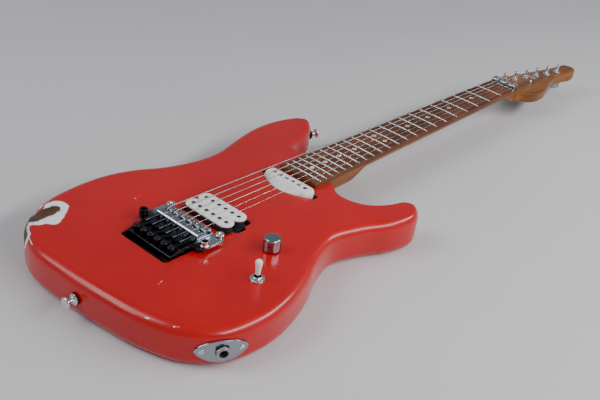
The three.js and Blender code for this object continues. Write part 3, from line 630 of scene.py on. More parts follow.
def metal(name, color, rough, spread=0.08, smudge=0.5, stretch=(1, 1, 1), edge=0.00025, relief=0.05,
          shade_span=None):
    """The last argument is a pair of places along X: painted shade darkens the plating to near black from the
    second to the first.
    """
    n = Nodes(name)
    haze = n.noise(120.0, 5.0, 0.6)
    streaks = n.noise(900.0, 3.0, 0.6, stretch)
    dark = tuple(c * (1 - 0.22 * smudge) for c in color)
    tint = n.ramp(haze, ((0.3, dark), (0.68, color)))
    # painted shade: the plating turns near black towards the plate's rear
    if shade_span:
        along = n.add("ShaderNodeSeparateXYZ", {"Vector": n.place}).outputs["X"]
        ragged = n.plus(along, n.times(haze, 0.006))
        tint = n.blend(n.span(ragged, shade_span[0] * MM, shade_span[1] * MM), (0.03, 0.033, 0.04), tint)
    wear = n.plus(n.times(haze, 0.6), n.times(streaks, 0.4))
    roughness = n.span(wear, 0.3, 0.75, rough, rough + spread)
    return n.surface(base_color=tint, metallic=1.0, roughness=roughness,
                     normal=n.bump(streaks, relief, 0.00006, edge))


def plastic(name, dark, light, rough, grain=700.0, coat=0.0, under=0.0, edge=0.0004):
    n = Nodes(name)
    soil = n.noise(70.0, 5.0, 0.6)
    color = n.ramp(soil, ((0.32, dark), (0.62, light)))
    speck = n.noise(grain, 3.0)
    roughness = n.span(n.plus(n.times(soil, 0.5), n.times(speck, 0.5)),
                       0.3, 0.7, rough, rough + 0.12)
    return n.surface(base_color=color, roughness=roughness, coat_weight=coat, coat_roughness=0.12,
                     subsurface_weight=under, subsurface_scale=0.002,
                     normal=n.bump(speck, 0.08, 0.0001, edge))


def wound_wire():
    """Nickel wire with its winding across the string."""
    n = Nodes("wound_wire")
    turns = n.add("ShaderNodeTexWave", {"Vector": n.place, "Scale": 550.0, "Distortion": 0.2},
                  wave_type="BANDS", bands_direction="X", wave_profile="SIN").outputs["Fac"]
    tint = n.ramp(n.noise(60.0, 4.0), ((0.3, (0.5, 0.47, 0.42)), (0.7, (0.72, 0.7, 0.66))))
    roughness = n.span(turns, 0.0, 1.0, 0.42, 0.26)
    return n.surface(base_color=tint, metallic=1.0, roughness=roughness, normal=n.bump(turns, 0.6, 0.0002))


def pearl():
    """Yellowed shell dots."""
    n = Nodes("inlay_pearl")
    swirl = n.noise(420.0, 5.0, 0.6, (1, 1, 1), 2.5)
    color = n.ramp(swirl, ((0.3, (0.62, 0.45, 0.2)), (0.5, (0.86, 0.72, 0.44)), (0.7, (0.95, 0.88, 0.68))))
    return n.surface(base_color=color, roughness=n.span(swirl, 0.3, 0.7, 0.22, 0.38), coat_weight=0.4,
                     coat_roughness=0.12, normal=n.bump(swirl, 0.15, 0.00008))


def floor_cover():
    n = Nodes("studio_floor")
    color = n.ramp(n.noise(2.2, 4.0), ((0.3, (0.6, 0.6, 0.61)), (0.7, (0.64, 0.64, 0.65))))
    fine = n.noise(180.0, 4.0)
    return n.surface(base_color=color, roughness=n.span(fine, 0.3, 0.7, 0.62, 0.75),
                     normal=n.bump(fine, 0.06, 0.001))


RED = lacquer()
# Near black inside every rout and hole: painted shade standing in for the dark of the recesses.
CAVITY = plastic("rout_painted_shade", (0.006, 0.006, 0.007), (0.016, 0.016, 0.018), 0.55)
MAPLE = wood("roasted_maple", (0.11, 0.034, 0.005), (0.235, 0.082, 0.014), (0.36, 0.145, 0.03), 0.34, 60.0,
             0.3)
ROSEWOOD = wood("rosewood", (0.045, 0.011, 0.003), (0.125, 0.034, 0.01), (0.22, 0.068, 0.021), 0.45, 80.0,
                0.7)
CHROME = metal("chrome", (0.78, 0.79, 0.81), 0.06)
# Chrome dimmed well below CHROME to stand in for reflections of dark surroundings: painted reflection.
BRIDGE_CHROME = metal("bridge_chrome", (0.36, 0.39, 0.43), 0.13, 0.08, 0.4)
# The tremolo plate's chrome, with painted shade turning it near black from x = -6 back to x = -19.
PLATE_CHROME = metal("plate_chrome_shaded", (0.5, 0.54, 0.6), 0.12, 0.08, 0.3, shade_span=(-19, -6))
# Near-black chrome for the fine tuners, lock screws, collar and the tremolo's rear parts: painted shade and
# painted reflection of dark surroundings.
SHADED_CHROME = metal("chrome_painted_shade", (0.045, 0.048, 0.055), 0.2, 0.1, 0.6)
POLE_STEEL = metal("pole_steel", (0.13, 0.14, 0.155), 0.28, 0.14, 0.7)
STEEL = metal("steel", (0.42, 0.42, 0.43), 0.3, 0.14, 0.8, (0.08, 1, 1))
FRET_STEEL = metal("fret_steel", (0.7, 0.73, 0.76), 0.14, 0.1, 0.5, (1, 0.1, 1), 0.0, 0.03)
PLAIN_WIRE = metal("plain_wire", (0.7, 0.69, 0.66), 0.2, 0.1, 0.6, (0.05, 1, 1), 0.0, 0.04)
WOUND_WIRE = wound_wire()
IVORY = plastic("ivory_plastic", (0.84, 0.84, 0.8), (0.93, 0.93, 0.9), 0.3, coat=0.25, under=0.06)
BLACK = plastic("black_plastic", (0.012, 0.012, 0.013), (0.028, 0.028, 0.03), 0.42)
FELT = plastic("black_felt", (0.008, 0.008, 0.008), (0.02, 0.02, 0.021), 0.85, 1600.0)
PEARL = pearl()


# ---------- fittings used in several places ----------
def hexagon(radius, z0, z1):
    angles = [math.pi * k / 3 for k in range(6)]
    return prism([(radius * math.cos(a), radius * math.sin(a)) for a in angles], z0, z1)


def cross_screw(radius, height):
    """A domed head with a cross recess, its seat at z = 0."""
    profile = [(0, -0.6), (radius * 0.98, -0.6), (radius, 0.1), (radius * 0.9, height * 0.5),
               (radius * 0.6, height * 0.88), (0, height)]
    arm, half = radius * 0.62, radius * 0.13
    floor = height * 0.35
    return cut(turned(profile, radius * 0.12, 3, 28), soft(block(-arm, arm, -half, half, floor, height + 1),
                                                           0.06, 1),
               soft(block(-half, half, -arm, arm, floor, height + 1), 0.06, 1))


def socket_screw(radius, height, key):
    """A cylinder head with a hexagon socket, its seat at z = 0."""
    profile = [(0, 0), (radius, 0), (radius, height), (0, height)]
    return cut(turned(profile, radius * 0.16, 3, 32), hexagon(key, height * 0.35, height + 1))


def rod(radius, z0, z1, sides=32):
    return lathe(((0, z0), (radius, z0), (radius, z1), (0, z1)), sides)


def turned(profile, radius, steps, sides=48, *ridges):
    """Turned about Z, with the profile's corners rounded."""
    return lathe(rounded(profile, radius, steps, closed=False), sides, *ridges)


def flipped(made):
    return moved(made, Matrix.Rotation(math.pi, 4, "X"))


def ring(inner, outer, z0, z1, edge=0.15, sides=48):
    profile = rounded([(inner, z0), (outer, z0), (outer, z1), (inner, z1)], edge, 2)
    return lathe(profile + profile[:1], sides)


# ---------- body ----------
SAFE = 0.15                                # keeps the smooth outline inside the frame's facets


def inset(outline, distance, shares=None):
    """Moves each point inwards, by its own share of the distance."""
    count = len(outline)
    made = []
    for k, point in enumerate(outline):
        along = Vector(outline[(k + 1) % count]) - Vector(outline[k - 1])
        normal = Vector((-along.y, along.x)).normalized()
        made.append(Vector(point) + normal * distance * (shares[k] if shares else 1))
    return made


def tip_shares(outline, reach):
    """How much of the reach fits at each point: less than all of it at the horns' tight tips."""
    count, gap, spread = len(outline), 2, 16
    fits = []
    for k, point in enumerate(outline):
        before = Vector(point) - Vector(outline[k - gap])
        after = Vector(outline[(k + gap) % count]) - Vector(point)
        turn = math.atan2(before.cross(after), before.dot(after))
        radius = before.length / turn if turn > 1e-4 else 1e4
        fits.append(min(1.0, 0.72 * radius / reach))
    about = [[(k + j) % count for j in range(-spread, spread + 1)] for k in range(count)]
    least = [min(fits[k] for k in group) for group in about]
    return [sum(least[k] for k in group) / len(group) for group in about]


def body_skin():
    outline = inset(spline(BODY_OUTLINE, 8), SAFE)
    shares = tip_shares(outline, EDGE + 1.2)
    steps = 9
    levels = [(EDGE + 1.2, 0.0)]
    for k in range(steps + 1):
        angle = math.pi / 2 * k / steps
        levels.append((EDGE * (1 - math.sin(angle)), EDGE * (1 - math.cos(angle))))
    levels += [(share, TOP - z) for share, z in reversed(levels)]
    rings = [[(p.x, p.y, z) for p in inset(outline, share, shares)] for share, z in levels]
    return loft(rings)


def body_cutters():
    c = SPRING_CAVITY
    over, cover, under = TOP + 2, COVER_THICK + GAP, -2
    near, side, far_side = HEEL_END - GAP, neck_half(HEEL_END) + GAP, neck_half(POCKET_END) + GAP
    pocket = ((near, -side), (POCKET_END, -far_side), (POCKET_END, far_side), (near, side))
    stud, knob, lever = middle("pivot_stud_bass"), middle("volume_knob"), middle("toggle_lever")
    x, y = NECK_PICKUP
    plate = [(px + math.copysign(GAP, px - 200), py + math.copysign(GAP, py)) for px, py in NECK_PLATE]
    inner = JACK - JACK_OUT * 40
    made = [
        prism(pocket, HEEL_BOTTOM - GAP, over),
        prism(round_rect(-65, 2, -35, 35, 4), TOP - 14, over),
        block(c["x0"], 2, -c["half"], c["half"], c["deep"] - 1, TOP - 13),
        prism(round_rect(c["x0"], c["x1"], -c["half"], c["half"], 5), under, c["deep"]),
        prism(round_rect(-57, 112, -37, 37, 5), under, cover),
        prism(round_rect(HUMBUCKER_X - 20.5, HUMBUCKER_X + 20.5, -35.6, 35.6, 4), TOP - 19, over),
        prism(round_rect(HUMBUCKER_X - 8, HUMBUCKER_X + 8, -41, 41, 4), TOP - 19, over),
        prism(cover_outline(0.8), TOP - 18, over),
        prism(round_rect(x - 5, x + 5, y - 42, y + 42, 3), TOP - 18, over),
        prism(stadium(*CONTROL_LINE, CONTROL_RADIUS), under, CONTROL_ROOF),
        prism(stadium(*CONTROL_LINE, CONTROL_RADIUS + 6), under, cover),
        at(rod(5, CONTROL_ROOF - 1, over), knob.x, knob.y),
        at(rod(5.2, CONTROL_ROOF - 1, over), lever.x, lever.y),
        prism(plate, under, cover),
        stood(rod(10.5, 0, 46, 40), inner, JACK_OUT),
        tube((inner, (-26, -116, JACK.z)), 4, 16),
    ]
    for sign in (-1, 1):
        made.append(at(rod(4.5, TOP - 26, over), stud.x, sign * stud.y))
        screw_y = sign * CLAW_SCREW_SIDE
        made.append(tube(((c["x1"] - 1, screw_y, SPRING_Z), (c["x1"] + 30, screw_y, SPRING_Z)), 2.1, 16))
    made += [at(rod(2.4, 1, HEEL_BOTTOM + 1, 20), *place) for place in NECK_SCREWS]
    made += [tube((place - out * 24, place + out * 4), 2, 16) for place, out in (TAIL_BUTTON, HORN_BUTTON)]
    # Tag 1 gives every cut face the second material, the painted shade inside the routs.
    return [tagged(tool, 1) for tool in made]


def make_body():
    show("body_shell", cut(body_skin(), *body_cutters()), (RED, CAVITY), "instrument",
         "body", 30)


# ---------- neck and fingerboard ----------
def neck_section(x):
    shaft = NECK_TOP - mix(10.2, 12.2, (SCALE - x) / 400)
    heel = 1 - smooth((x - HEEL_TURN) / HEEL_RUN)
    head = smooth((x - HEAD_TURN) / 32)
    foot = mix(mix(shaft, HEEL_BOTTOM, heel), HEAD_BACK, head)
    power = 2 + 9 * max(heel, head)
    ramp = smooth((x - SCALE - NUT_LENGTH - 1) / 16)
    half = NUT_HALF if x > SCALE else neck_half(x)
    face = mix(NECK_TOP, HEAD_FACE, ramp)
    steps = 26
    section = [(x, half, face)]
    for k in range(steps + 1):
        angle = math.pi * k / steps
        side = math.cos(angle)
        across = math.copysign(abs(side) ** (2 / power), side) if abs(side) > 1e-9 else 0.0
        down = abs(math.sin(angle)) ** (2 / power)
        section.append((x, half * across, mix(face - 1.5, foot, down)))
    section.append((x, -half, face))
    return section


def make_neck():
    stations = [HEEL_END, 200, HEEL_TURN] + [HEEL_TURN + HEEL_RUN * k / 12 for k in range(1, 13)]
    stations += [300, 360, 420, 480, 540, 600] + [HEAD_TURN + 54 * k / 20 for k in range(21)]
    tip = high("neck").x
    outline = [(min(x, tip), y) for x, y in spline(HEAD_OUTLINE, 7, closed=False)]
    head = soft(prism(outline, HEAD_BACK, HEAD_FACE), 1.6, 4, 50)
    whole = combine(loft([neck_section(x) for x in stations]), [head], "UNION")
    tree = middle("string_tree")
    tools = [
        block(184, 640, -3.2, 3.2, NECK_TOP - 6.5, NECK_TOP + 2),
        block(HEEL_END - 2, 186, -4.6, 4.6, NECK_TOP - 10.5, NECK_TOP + 2),
        at(rod(1.6, HEAD_FACE - 10, HEAD_FACE + 2, 16), tree.x, tree.y),
    ]
    posts = [middle(f"tuner_post_{label}") for label in STRINGS]
    tools += [at(rod(4.9, HEAD_BACK - 2, HEAD_FACE + 2), post.x, post.y) for post in posts]
    tools += [at(rod(2.3, HEEL_BOTTOM - 2, HEEL_BOTTOM + 14, 16), *place) for place in NECK_SCREWS]
    show("neck_wood", cut(whole, *tools), MAPLE, "instrument", "neck", 32)


def board_section(x, bottom):
    half = neck_half(x)
    steps = 18
    edge = 0.7
    section = [(x, half, bottom), (x, half, board_z(half) - edge)]
    for k in range(steps + 1):
        y = mix(half - edge * 0.5, -half + edge * 0.5, k / steps)
        section.append((x, y, board_z(y)))
    section += [(x, -half, board_z(half) - edge), (x, -half, bottom)]
    return section


def fret(n):
    """A rounded crown laid across the board's curve, its ends sloped."""
    x = fret_x(n)
    half = neck_half(x) - 0.25
    steps = 16
    rings = []
    for k in range(steps + 1):
        y = mix(half, -half, k / steps)
        end = 0.25 if k in (0, steps) else 1.0
        crown = [(x - FRET_HALF, y, board_z(y) - 0.5)]
        for j in range(9):
            angle = math.pi * j / 8
            rise = 0.95 * FRET_HIGH * end * math.sin(angle) ** 0.8
            crown.append((x - FRET_HALF * math.cos(angle), y, board_z(y) + rise))
        crown.append((x + FRET_HALF, y, board_z(y) - 0.5))
        rings.append(crown)
    tuck = 0.7
    rings.insert(1, [(px, half - tuck, pz) for px, _, pz in rings[1]])
    rings.insert(-1, [(px, tuck - half, pz) for px, _, pz in rings[-2]])
    return loft(rings)


def inlay(x, y, radius):
    disc = lathe([(0, -1), (radius, -1), (radius, 0.02), (radius * 0.7, 0.05), (0, 0.06)], 36)
    tilt = Matrix.Rotation(-math.atan(y / BOARD_RADIUS), 4, "X")
    return moved(disc, Matrix.Translation((x, y, board_z(y))) @ tilt)


def make_board():
    bottom = BOARD_TOP - BOARD_THICK
    stations = [mix(BOARD_END, SCALE - 0.3, k / 12) for k in range(13)]
    show("fingerboard_wood", loft([board_section(x, bottom) for x in stations]), ROSEWOOD, "instrument",
         "fingerboard", 30)
    show("frets", together(*[fret(n) for n in range(1, FRETS + 1)]), FRET_STEEL, "instrument", (),
         40)
    dots = []
    for n in (3, 5, 7, 9, 15, 17, 19, 21):
        dots.append(inlay((fret_x(n) + fret_x(n - 1)) / 2, 0, 3.0))
    twelfth = (fret_x(12) + fret_x(11)) / 2
    dots += [inlay(twelfth, side * 9, 3.0) for side in (-1, 1)]
    show("inlays", together(*dots), PEARL, "instrument", (), 40)
    side_dots = []
    for n in (3, 5, 7, 9, 12, 15, 17, 19, 21):
        x = (fret_x(n) + fret_x(n - 1)) / 2
        disc = lathe([(0, -1), (1, -1), (1, 0.03), (0, 0.05)], 20)
        side_dots.append(stood(disc, (x, neck_half(x), BOARD_TOP - 3.4), (0, 1, 0)))
    show("side_dots", together(*side_dots), PEARL, "instrument", (), 40)


# ---------- headstock ----------
def make_nut():
    x0, x1 = low("locking_nut").x, high("locking_nut").x
    bottom = low("locking_nut").z
    top = STRING_NUT_Z - 1.1
    base = soft(block(x0, x1, -NUT_HALF + 0.05, NUT_HALF - 0.05, bottom, top), 0.7, 3)
    slots = []
    for k in STRINGS:
        y = string_side(k, NUT_PITCH)
        slots.append(tube(((x0 - 1, y, STRING_NUT_Z), (x1 + 1, y, STRING_NUT_Z)), STRING_RADII[k - 1] + 0.9))
    show("nut_base", cut(base, *slots), BRIDGE_CHROME, "instrument", "locking_nut")
    for k, y in enumerate((-14.4, 0, 14.4)):
        clamp = soft(block(x0 + 2, x1 - 1.2, y - 6, y + 6, STRING_NUT_Z + 0.9, STRING_NUT_Z + 3.6), 0.8, 3)
        grip = cut(clamp, at(rod(3.7, 0, 9), (x0 + x1) / 2, y, STRING_NUT_Z + 2.6))
        show(f"nut_clamp_{k + 1}", grip, CHROME, "instrument")
        bolt = together(at(socket_screw(3.3, 2.5, 1.5), (x0 + x1) / 2, y, STRING_NUT_Z + 2.7),
                        at(rod(1.7, -8, 3, 20), (x0 + x1) / 2, y, STRING_NUT_Z))
        show(f"nut_bolt_{k + 1}", bolt, STEEL, "instrument")


def make_tree():
    tree = middle("string_tree")
    z = HEAD_FACE
    stem = turned([(0, z - 9), (1.2, z - 9), (1.2, z + 0.3), (2.6, z + 0.3), (1.9, z + 3), (1.2, z + 4),
                   (1.2, z + 9.4), (0, z + 9.4)], 0.3, 3, 28)
    bar = soft(prism(stadium((0, -3.6), (0, 3.6), 2.1), z + 9, z + 10.2), 0.35, 3)
    head = at(cross_screw(2.5, 1.2), 0, 0, z + 10.2)
    show("tree_bar", at(together(stem, bar), tree.x, tree.y), CHROME, "instrument", "string_tree")
    show("tree_screw", at(head, tree.x, tree.y), STEEL, "instrument")


def tuner_turn(label):
    post = middle(f"tuner_post_{label}")
    angle = math.atan2(POST_LINE.y, POST_LINE.x)
    return Matrix.Translation((post.x, post.y, 0)) @ Matrix.Rotation(angle, 4, "Z")


WRAP_REACH = 2.36                          # the string's wraps clear the post's waist by a hair
WRAP_FOOT = HEAD_FACE + 4.3


def wrap_laps(label):
    return 2 if label > 3 else 3


def make_tuner(label):
    turn = tuner_turn(label)
    roof = HEAD_BACK - 0.3
    case = soft(prism(round_rect(-8.4, 8.4, -7.9, 11.9, 3.2), roof - 11.4, roof), 1.6, 4)
    barrel = ring(3.5, 4.45, roof - 1, HEAD_FACE + 1.6)
    washer = ring(3.5, 6.4, HEAD_FACE + 0.1, HEAD_FACE + 0.9, 0.25)
    nut = turned([(3.5, HEAD_FACE + 0.9), (5.6, HEAD_FACE + 0.9), (5.2, HEAD_FACE + 1.8),
                  (3.5, HEAD_FACE + 1.8), (3.5, HEAD_FACE + 0.9)], 0.2, 2)
    bore = rod(3.5, BUTTON_Z - 1.5, roof + 1)
    shaft = tube(((0, 5, BUTTON_Z), (0, 14, BUTTON_Z)), 1.9, 20)
    case = cut(case, bore, shaft)
    show(f"tuner_case_{label}", moved(case, turn), BRIDGE_CHROME, "instrument",
         f"tuner_housing_{label}")
    show(f"tuner_bushing_{label}", moved(together(barrel, washer, nut), turn), CHROME, "instrument")
    flip = Matrix.Translation((5.2, -4.6, roof - 11.3)) @ Matrix.Rotation(math.pi, 4, "X")
    show(f"tuner_screw_{label}", moved(cross_screw(1.5, 0.5), turn @ flip), STEEL, "instrument")
    tip = high(f"tuner_post_{label}").z
    profile = [(0, BUTTON_Z - 0.5), (2.95, BUTTON_Z - 0.5), (2.95, HEAD_FACE + 2.4), (2.3, HEAD_FACE + 3.6),
               (2.3, HEAD_FACE + 8), (2.95, HEAD_FACE + 9.2), (2.95, tip - 0.8), (2.2, tip), (0, tip - 0.2)]
    post = turned(profile, 0.5, 4, 40)
    hole = tube(((-5, 0, tip - 2.6), (5, 0, tip - 2.6)), 0.8, 14)
    show(f"tuner_shaft_{label}", moved(cut(post, hole), turn), CHROME, f"tuner_post_{label}",
         f"tuner_post_{label}")
    radius = STRING_RADII[label - 1]
    steps = 28
    angles = [2 * math.pi * k / steps for k in range(steps + 1)]
    reach = WRAP_REACH + radius
    rings = []
    for lap in range(wrap_laps(label)):
        height = WRAP_FOOT + lap * 2.02 * radius
        rings.append(tube([(reach * math.cos(a), reach * math.sin(a), height) for a in angles], radius, 10))
    show(f"string_wrap_{label}", moved(together(*rings), turn), WOUND_WIRE if label > 3 else PLAIN_WIRE,
         f"tuner_post_{label}", (), 40)
    show(f"tuner_grip_{label}", moved(tuner_grip(), turn), BRIDGE_CHROME, f"tuner_button_{label}",
         f"tuner_button_{label}")


def tuner_grip():
    """A kidney-shaped button on its shaft, pointing along Y."""
    rings = []
    steps = 32
    for k in range(15):
        t = k / 14
        y = mix(16, 34.95, t)
        size = mix(0.45, 1.0, smooth(t * 1.9)) * math.sqrt(max(0.0, 1 - max(0.0, (t - 0.55) / 0.47) ** 2.4))
        size = max(size, 0.16)
        thick = 3.3 * mix(0.75, 1.0, math.sin(math.pi * min(1, t * 1.1))) * min(1.0, size * 1.7)
        section = []
        for j in range(steps):
            angle = 2 * math.pi * j / steps
            section.append((8.3 * size * math.cos(angle), y, BUTTON_Z + thick * math.sin(angle)))
        rings.append(section)
    stem = tube(((0, 7, BUTTON_Z), (0, 17, BUTTON_Z)), 1.45, 20)
    neck = stood(ring(0.4, 2.6, 14.2, 15.8), (0, 0, BUTTON_Z), (0, 1, 0))
    return together(loft(rings), stem, neck)


# ---------- strings ----------
def make_string(label):
    radius = STRING_RADII[label - 1]
    bridge_y, nut_y = string_side(label, BRIDGE_PITCH), string_side(label, NUT_PITCH)
    leave = Vector((SCALE + NUT_LENGTH, nut_y, STRING_NUT_Z))
    post = middle(f"tuner_post_{label}")
    along = (post - leave).to_2d().normalized()
    end = post + Vector((-along.y, along.x, 0)) * (WRAP_REACH + 0.08 + radius)
    end.z = WRAP_FOOT + wrap_laps(label) * 2.02 * radius + 0.06
    path = [Vector((x, bridge_y, STRING_BRIDGE_Z - drop)) for x,
            drop in ((-11, 3.4), (-7, 1.3), (-4.4, 0.25), (-2.4, 0))]
    nut = Vector((SCALE, nut_y, STRING_NUT_Z))
    path += [path[-1].lerp(nut, share) for share in (0.006, 0.012, 0.018, 0.024, 0.03, 0.05, 0.1, 0.3, 0.5,
                                                     0.7, 0.9)]
    stop = leave + (end - leave) * (1 - 1.2 / (end - leave).length)
    path += [nut, leave, leave.lerp(stop, 0.04), stop]
    o = show(f"wire_{label}", tube(path, radius, 14), WOUND_WIRE if label > 3 else PLAIN_WIRE, "instrument",
             f"string_{label}", 50, ride=False)
    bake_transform(o)


# ---------- tremolo ----------
def plate_outline():
    edge = 3.2
    treble, bass = -47.0, 44.5
    points = [(-42, -PLATE_REAR_HALF), (-33, -PLATE_REAR_HALF), (-28, -38), (-27, treble), (edge, treble),
              (edge, -33), (5.8, -30), (5.8, 30), (edge, 33), (edge, bass), (-33, bass), (-34, 38),
              (-39, PLATE_REAR_HALF), (-42, PLATE_REAR_HALF)]
    return rounded(points, 3.4, 5)


def make_tremolo():
    studs = middle("pivot_stud_bass")
    socket = middle("arm_socket")
    top_plate = soft(prism(plate_outline(), PLATE_BOTTOM, PLATE_TOP), 0.5, 3, 50)
    notch = rod(3.8, PLATE_BOTTOM - 1, PLATE_TOP + 1)
    tools = [at(notch, studs.x, side * studs.y) for side in (-1, 1)]
    tools.append(at(rod(3.2, 0, 60), socket.x, socket.y))
    for side in (-1, 1):
        tools.append(soft(block(-38.5, -35, side * 16 - 5, side * 16 + 5, PLATE_BOTTOM - 1, PLATE_TOP + 1),
                          0.8, 3))
    show("tremolo_base", cut(top_plate, *tools), PLATE_CHROME, "tremolo", "tremolo_plate")
    riser = soft(block(-44, -40.6, -31.3, 31.3, BAR_TOP - 1.4, PLATE_TOP - 0.05), 0.4, 2)
    bar = soft(block(PLATE_REAR, -41, -32.9, 32.9, BAR_TOP - 4.4, BAR_TOP), 0.8, 3)
    holes = [at(rod(2, TOP - 8, BAR_TOP + 2, 24),
                low("fine_tuner_1").x + 4.2, string_side(k, BRIDGE_PITCH)) for k in STRINGS]
    show("fine_tuner_bar", cut(bar, *holes), SHADED_CHROME, "tremolo")
    show("fine_tuner_riser", riser, SHADED_CHROME, "tremolo")
    for side, label in SIDES:
        y0, y1 = sorted((side * 31.2, side * (PLATE_REAR_HALF - 0.05)))
        rail = moved(prism(rounded([(PLATE_REAR, BAR_TOP - 4.4), (-36, BAR_TOP - 4.4), (-36, PLATE_TOP),
                                    (-44, PLATE_TOP), (-50, BAR_TOP + 1), (PLATE_REAR, BAR_TOP)], 1.4, 4),
                           -y1, -y0), Matrix.Rotation(math.pi / 2, 4, "X"))
        show(f"plate_cheek_{label}", soft(rail, 0.3, 2), SHADED_CHROME, "tremolo")
    collar = turned([(3, PLATE_TOP), (5, PLATE_TOP), (5, PLATE_TOP + 2), (4.6, PLATE_TOP + 2.6),
                     (4.6, TOP + 13), (3, TOP + 13), (3, PLATE_TOP)], 0.4, 3, 44)
    show("arm_collar_bass", at(collar, *COLLAR), SHADED_CHROME, "tremolo")
    z0 = PLATE_TOP + 0.3
    arm = turned([(3.1, z0), (5.2, z0), (5.2, z0 + 2), (4.55, z0 + 2.5), (4.55, TOP + 11.6),
                  (4.9, TOP + 11.8), (4.6, TOP + 13), (3.1, TOP + 13), (3.1, z0)], 0.35, 3)
    show("arm_holder", at(arm, socket.x, socket.y), CHROME, "tremolo", "arm_socket")
    block_shape = cut(soft(block(-21, -5, -29, 29, TOP - 36, PLATE_BOTTOM - 0.3), 1.0, 3),
                      soft(block(-8, -4, -26, 26, TOP - 38, TOP - 33), 0.4, 1))
    show("inertia_block", block_shape, STEEL, "tremolo", "sustain_block")


def make_saddle(label):
    """A saddle with its string insert, lock screw and foot screw."""
    y = string_side(label, BRIDGE_PITCH)
    floor = PLATE_TOP + 0.3
    crest = STRING_BRIDGE_Z - STRING_RADII[label - 1] - 0.06
    half = BRIDGE_PITCH / 2 - 0.16
    back = TOP + 12.8
    side = rounded([(4.3, floor), (4.3, floor + 1.9), (1.6, floor + 2.6), (0.6, crest - 0.9), (-2.2, crest),
                    (-6.8, crest - 1.3), (-7.4, crest - 2.6), (-10.4, crest - 2.6), (-10.8, back),
                    (-19, back), (-19, floor)], 0.45, 3)
    body = moved(prism(side, -half, half), Matrix.Rotation(math.pi / 2, 4, "X"))
    groove = tube(((-14, 0, crest - 2.6), (-7, 0, crest - 0.3), (-2.2, 0, crest + 0.45), (6, 0, crest + 0.1)),
                  0.6, 10)
    chamfer = moved(block(-1.1, 1.1, -9, 9, -1.1, 1.1), Matrix.Translation((-19.2, 0, back + 0.2))
                    @ Matrix.Rotation(math.pi / 4, 4, "Y"))
    body = cut(soft(body, 0.3, 2, 50), groove, chamfer)
    show(f"saddle_{label}", at(body, 0, y), BRIDGE_CHROME, "tremolo",
         "saddles" if label == 1 else ())
    insert = soft(block(-10.2, -7.7, -2.4, 2.4, crest - 2.7, crest - 1.3), 0.3, 2)
    show(f"saddle_insert_{label}", at(insert, 0, y), SHADED_CHROME, "tremolo")
    foot = at(socket_screw(1.6, 1.6, 0.8), 2.7, y, floor + 1.6)
    show(f"saddle_screw_{label}", foot, STEEL, "tremolo")
    shank = stood(turned([(0, 0), (1.5, 0), (1.5, 16), (0, 16)], 0.2, 2, 24), (-18, y, TOP + 10.3),
                  (-1, 0, 0))
    head = stood(socket_screw(2.6, 6, 1.35), (-33.9, y, TOP + 10.3), (-1, 0, 0))
    show(f"lock_screw_{label}", together(shank, head), SHADED_CHROME, "tremolo")


def make_fine_tuner(label):
    place = middle(f"fine_tuner_{label}")
    z0, z1 = BAR_TOP + 1, high(f"fine_tuner_{label}").z
    profile = rounded([(0, TOP - 3), (1.45, TOP - 3), (1.45, z0), (3.6, z0), (4.15, z0 + 0.6),
                       (4.15, z1 - 0.7), (3.5, z1), (1.4, z1), (1.1, z1 - 0.5), (0, z1 - 0.5)], 0.25, 2,
                      closed=False)
    made = lathe(profile, 72, 0.22, (z0 + 0.55, z1 - 0.65))
    show(f"fine_tuner_knob_{label}", at(made, place.x, place.y), SHADED_CHROME, f"fine_tuner_{label}",
         f"fine_tuner_{label}", 60)


def make_stud(side, label):
    node = f"pivot_stud_{label}"
    place = middle(node)
    z = PLATE_TOP
    head = turned([(0, TOP - 25), (3, TOP - 25), (3, z + 0.9), (4.85, z + 1.2), (4.85, z + 2.2),
                   (4.2, z + 2.8), (0, z + 2.8)], 0.35, 3, 40)
    head = cut(head, hexagon(2.1, z + 1, z + 4))
    bush = ring(3, 4.8, TOP + 0.2, PLATE_BOTTOM - 0.8, 0.3)
    sleeve = ring(3, 4.1, TOP - 25, TOP + 0.3, 0.2)
    show(f"stud_{label}", at(head, place.x, place.y), CHROME, "instrument", node)
    show(f"stud_bush_{label}", at(together(bush, sleeve), place.x, place.y), STEEL, "instrument")


def make_springs():
    turns, sides = 34, 10
    for k, y in enumerate(SPRING_SIDES):
        coil = []
        for step in range(turns * sides + 1):
            angle = 2 * math.pi * step / sides
            x = mix(5.5, CLAW_X - 9, step / (turns * sides))
            coil.append((x, y + COIL_RADIUS * math.cos(angle), SPRING_Z + COIL_RADIUS * math.sin(angle)))
        hook = [(-3.6, y, SPRING_Z), (3, y, SPRING_Z), (4.8, y + 1.6, SPRING_Z)]
        tail = [(CLAW_X - 8.4, y + 1.6, SPRING_Z), (CLAW_X - 7, y, SPRING_Z), (CLAW_X - 1.4, y, SPRING_Z)]
        spring = tube(hook + coil + tail, SPRING_WIRE, 6)
        o = show(f"coil_spring_{k + 1}", spring, STEEL, "instrument", f"tremolo_spring_{k + 1}",
                 50, ride=False)
        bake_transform(o)
    claw = soft(block(CLAW_X - 0.75, CLAW_X + 1.15, -26, 26, SPRING_Z - 4, SPRING_Z + 5), 0.4, 2)
    show("claw_plate", claw, STEEL, "instrument", "spring_claw")
    for side, label in SIDES:
        y = side * CLAW_SCREW_SIDE
        screw = together(stood(cross_screw(3.5, 2.2), (CLAW_X - 1.6, y, SPRING_Z), (-1, 0, 0)),
                         tube(((CLAW_X - 1, y, SPRING_Z), (CLAW_X + 37.5, y, SPRING_Z)), 1.7, 16))
        show(f"claw_screw_{label}", screw, STEEL, "instrument")


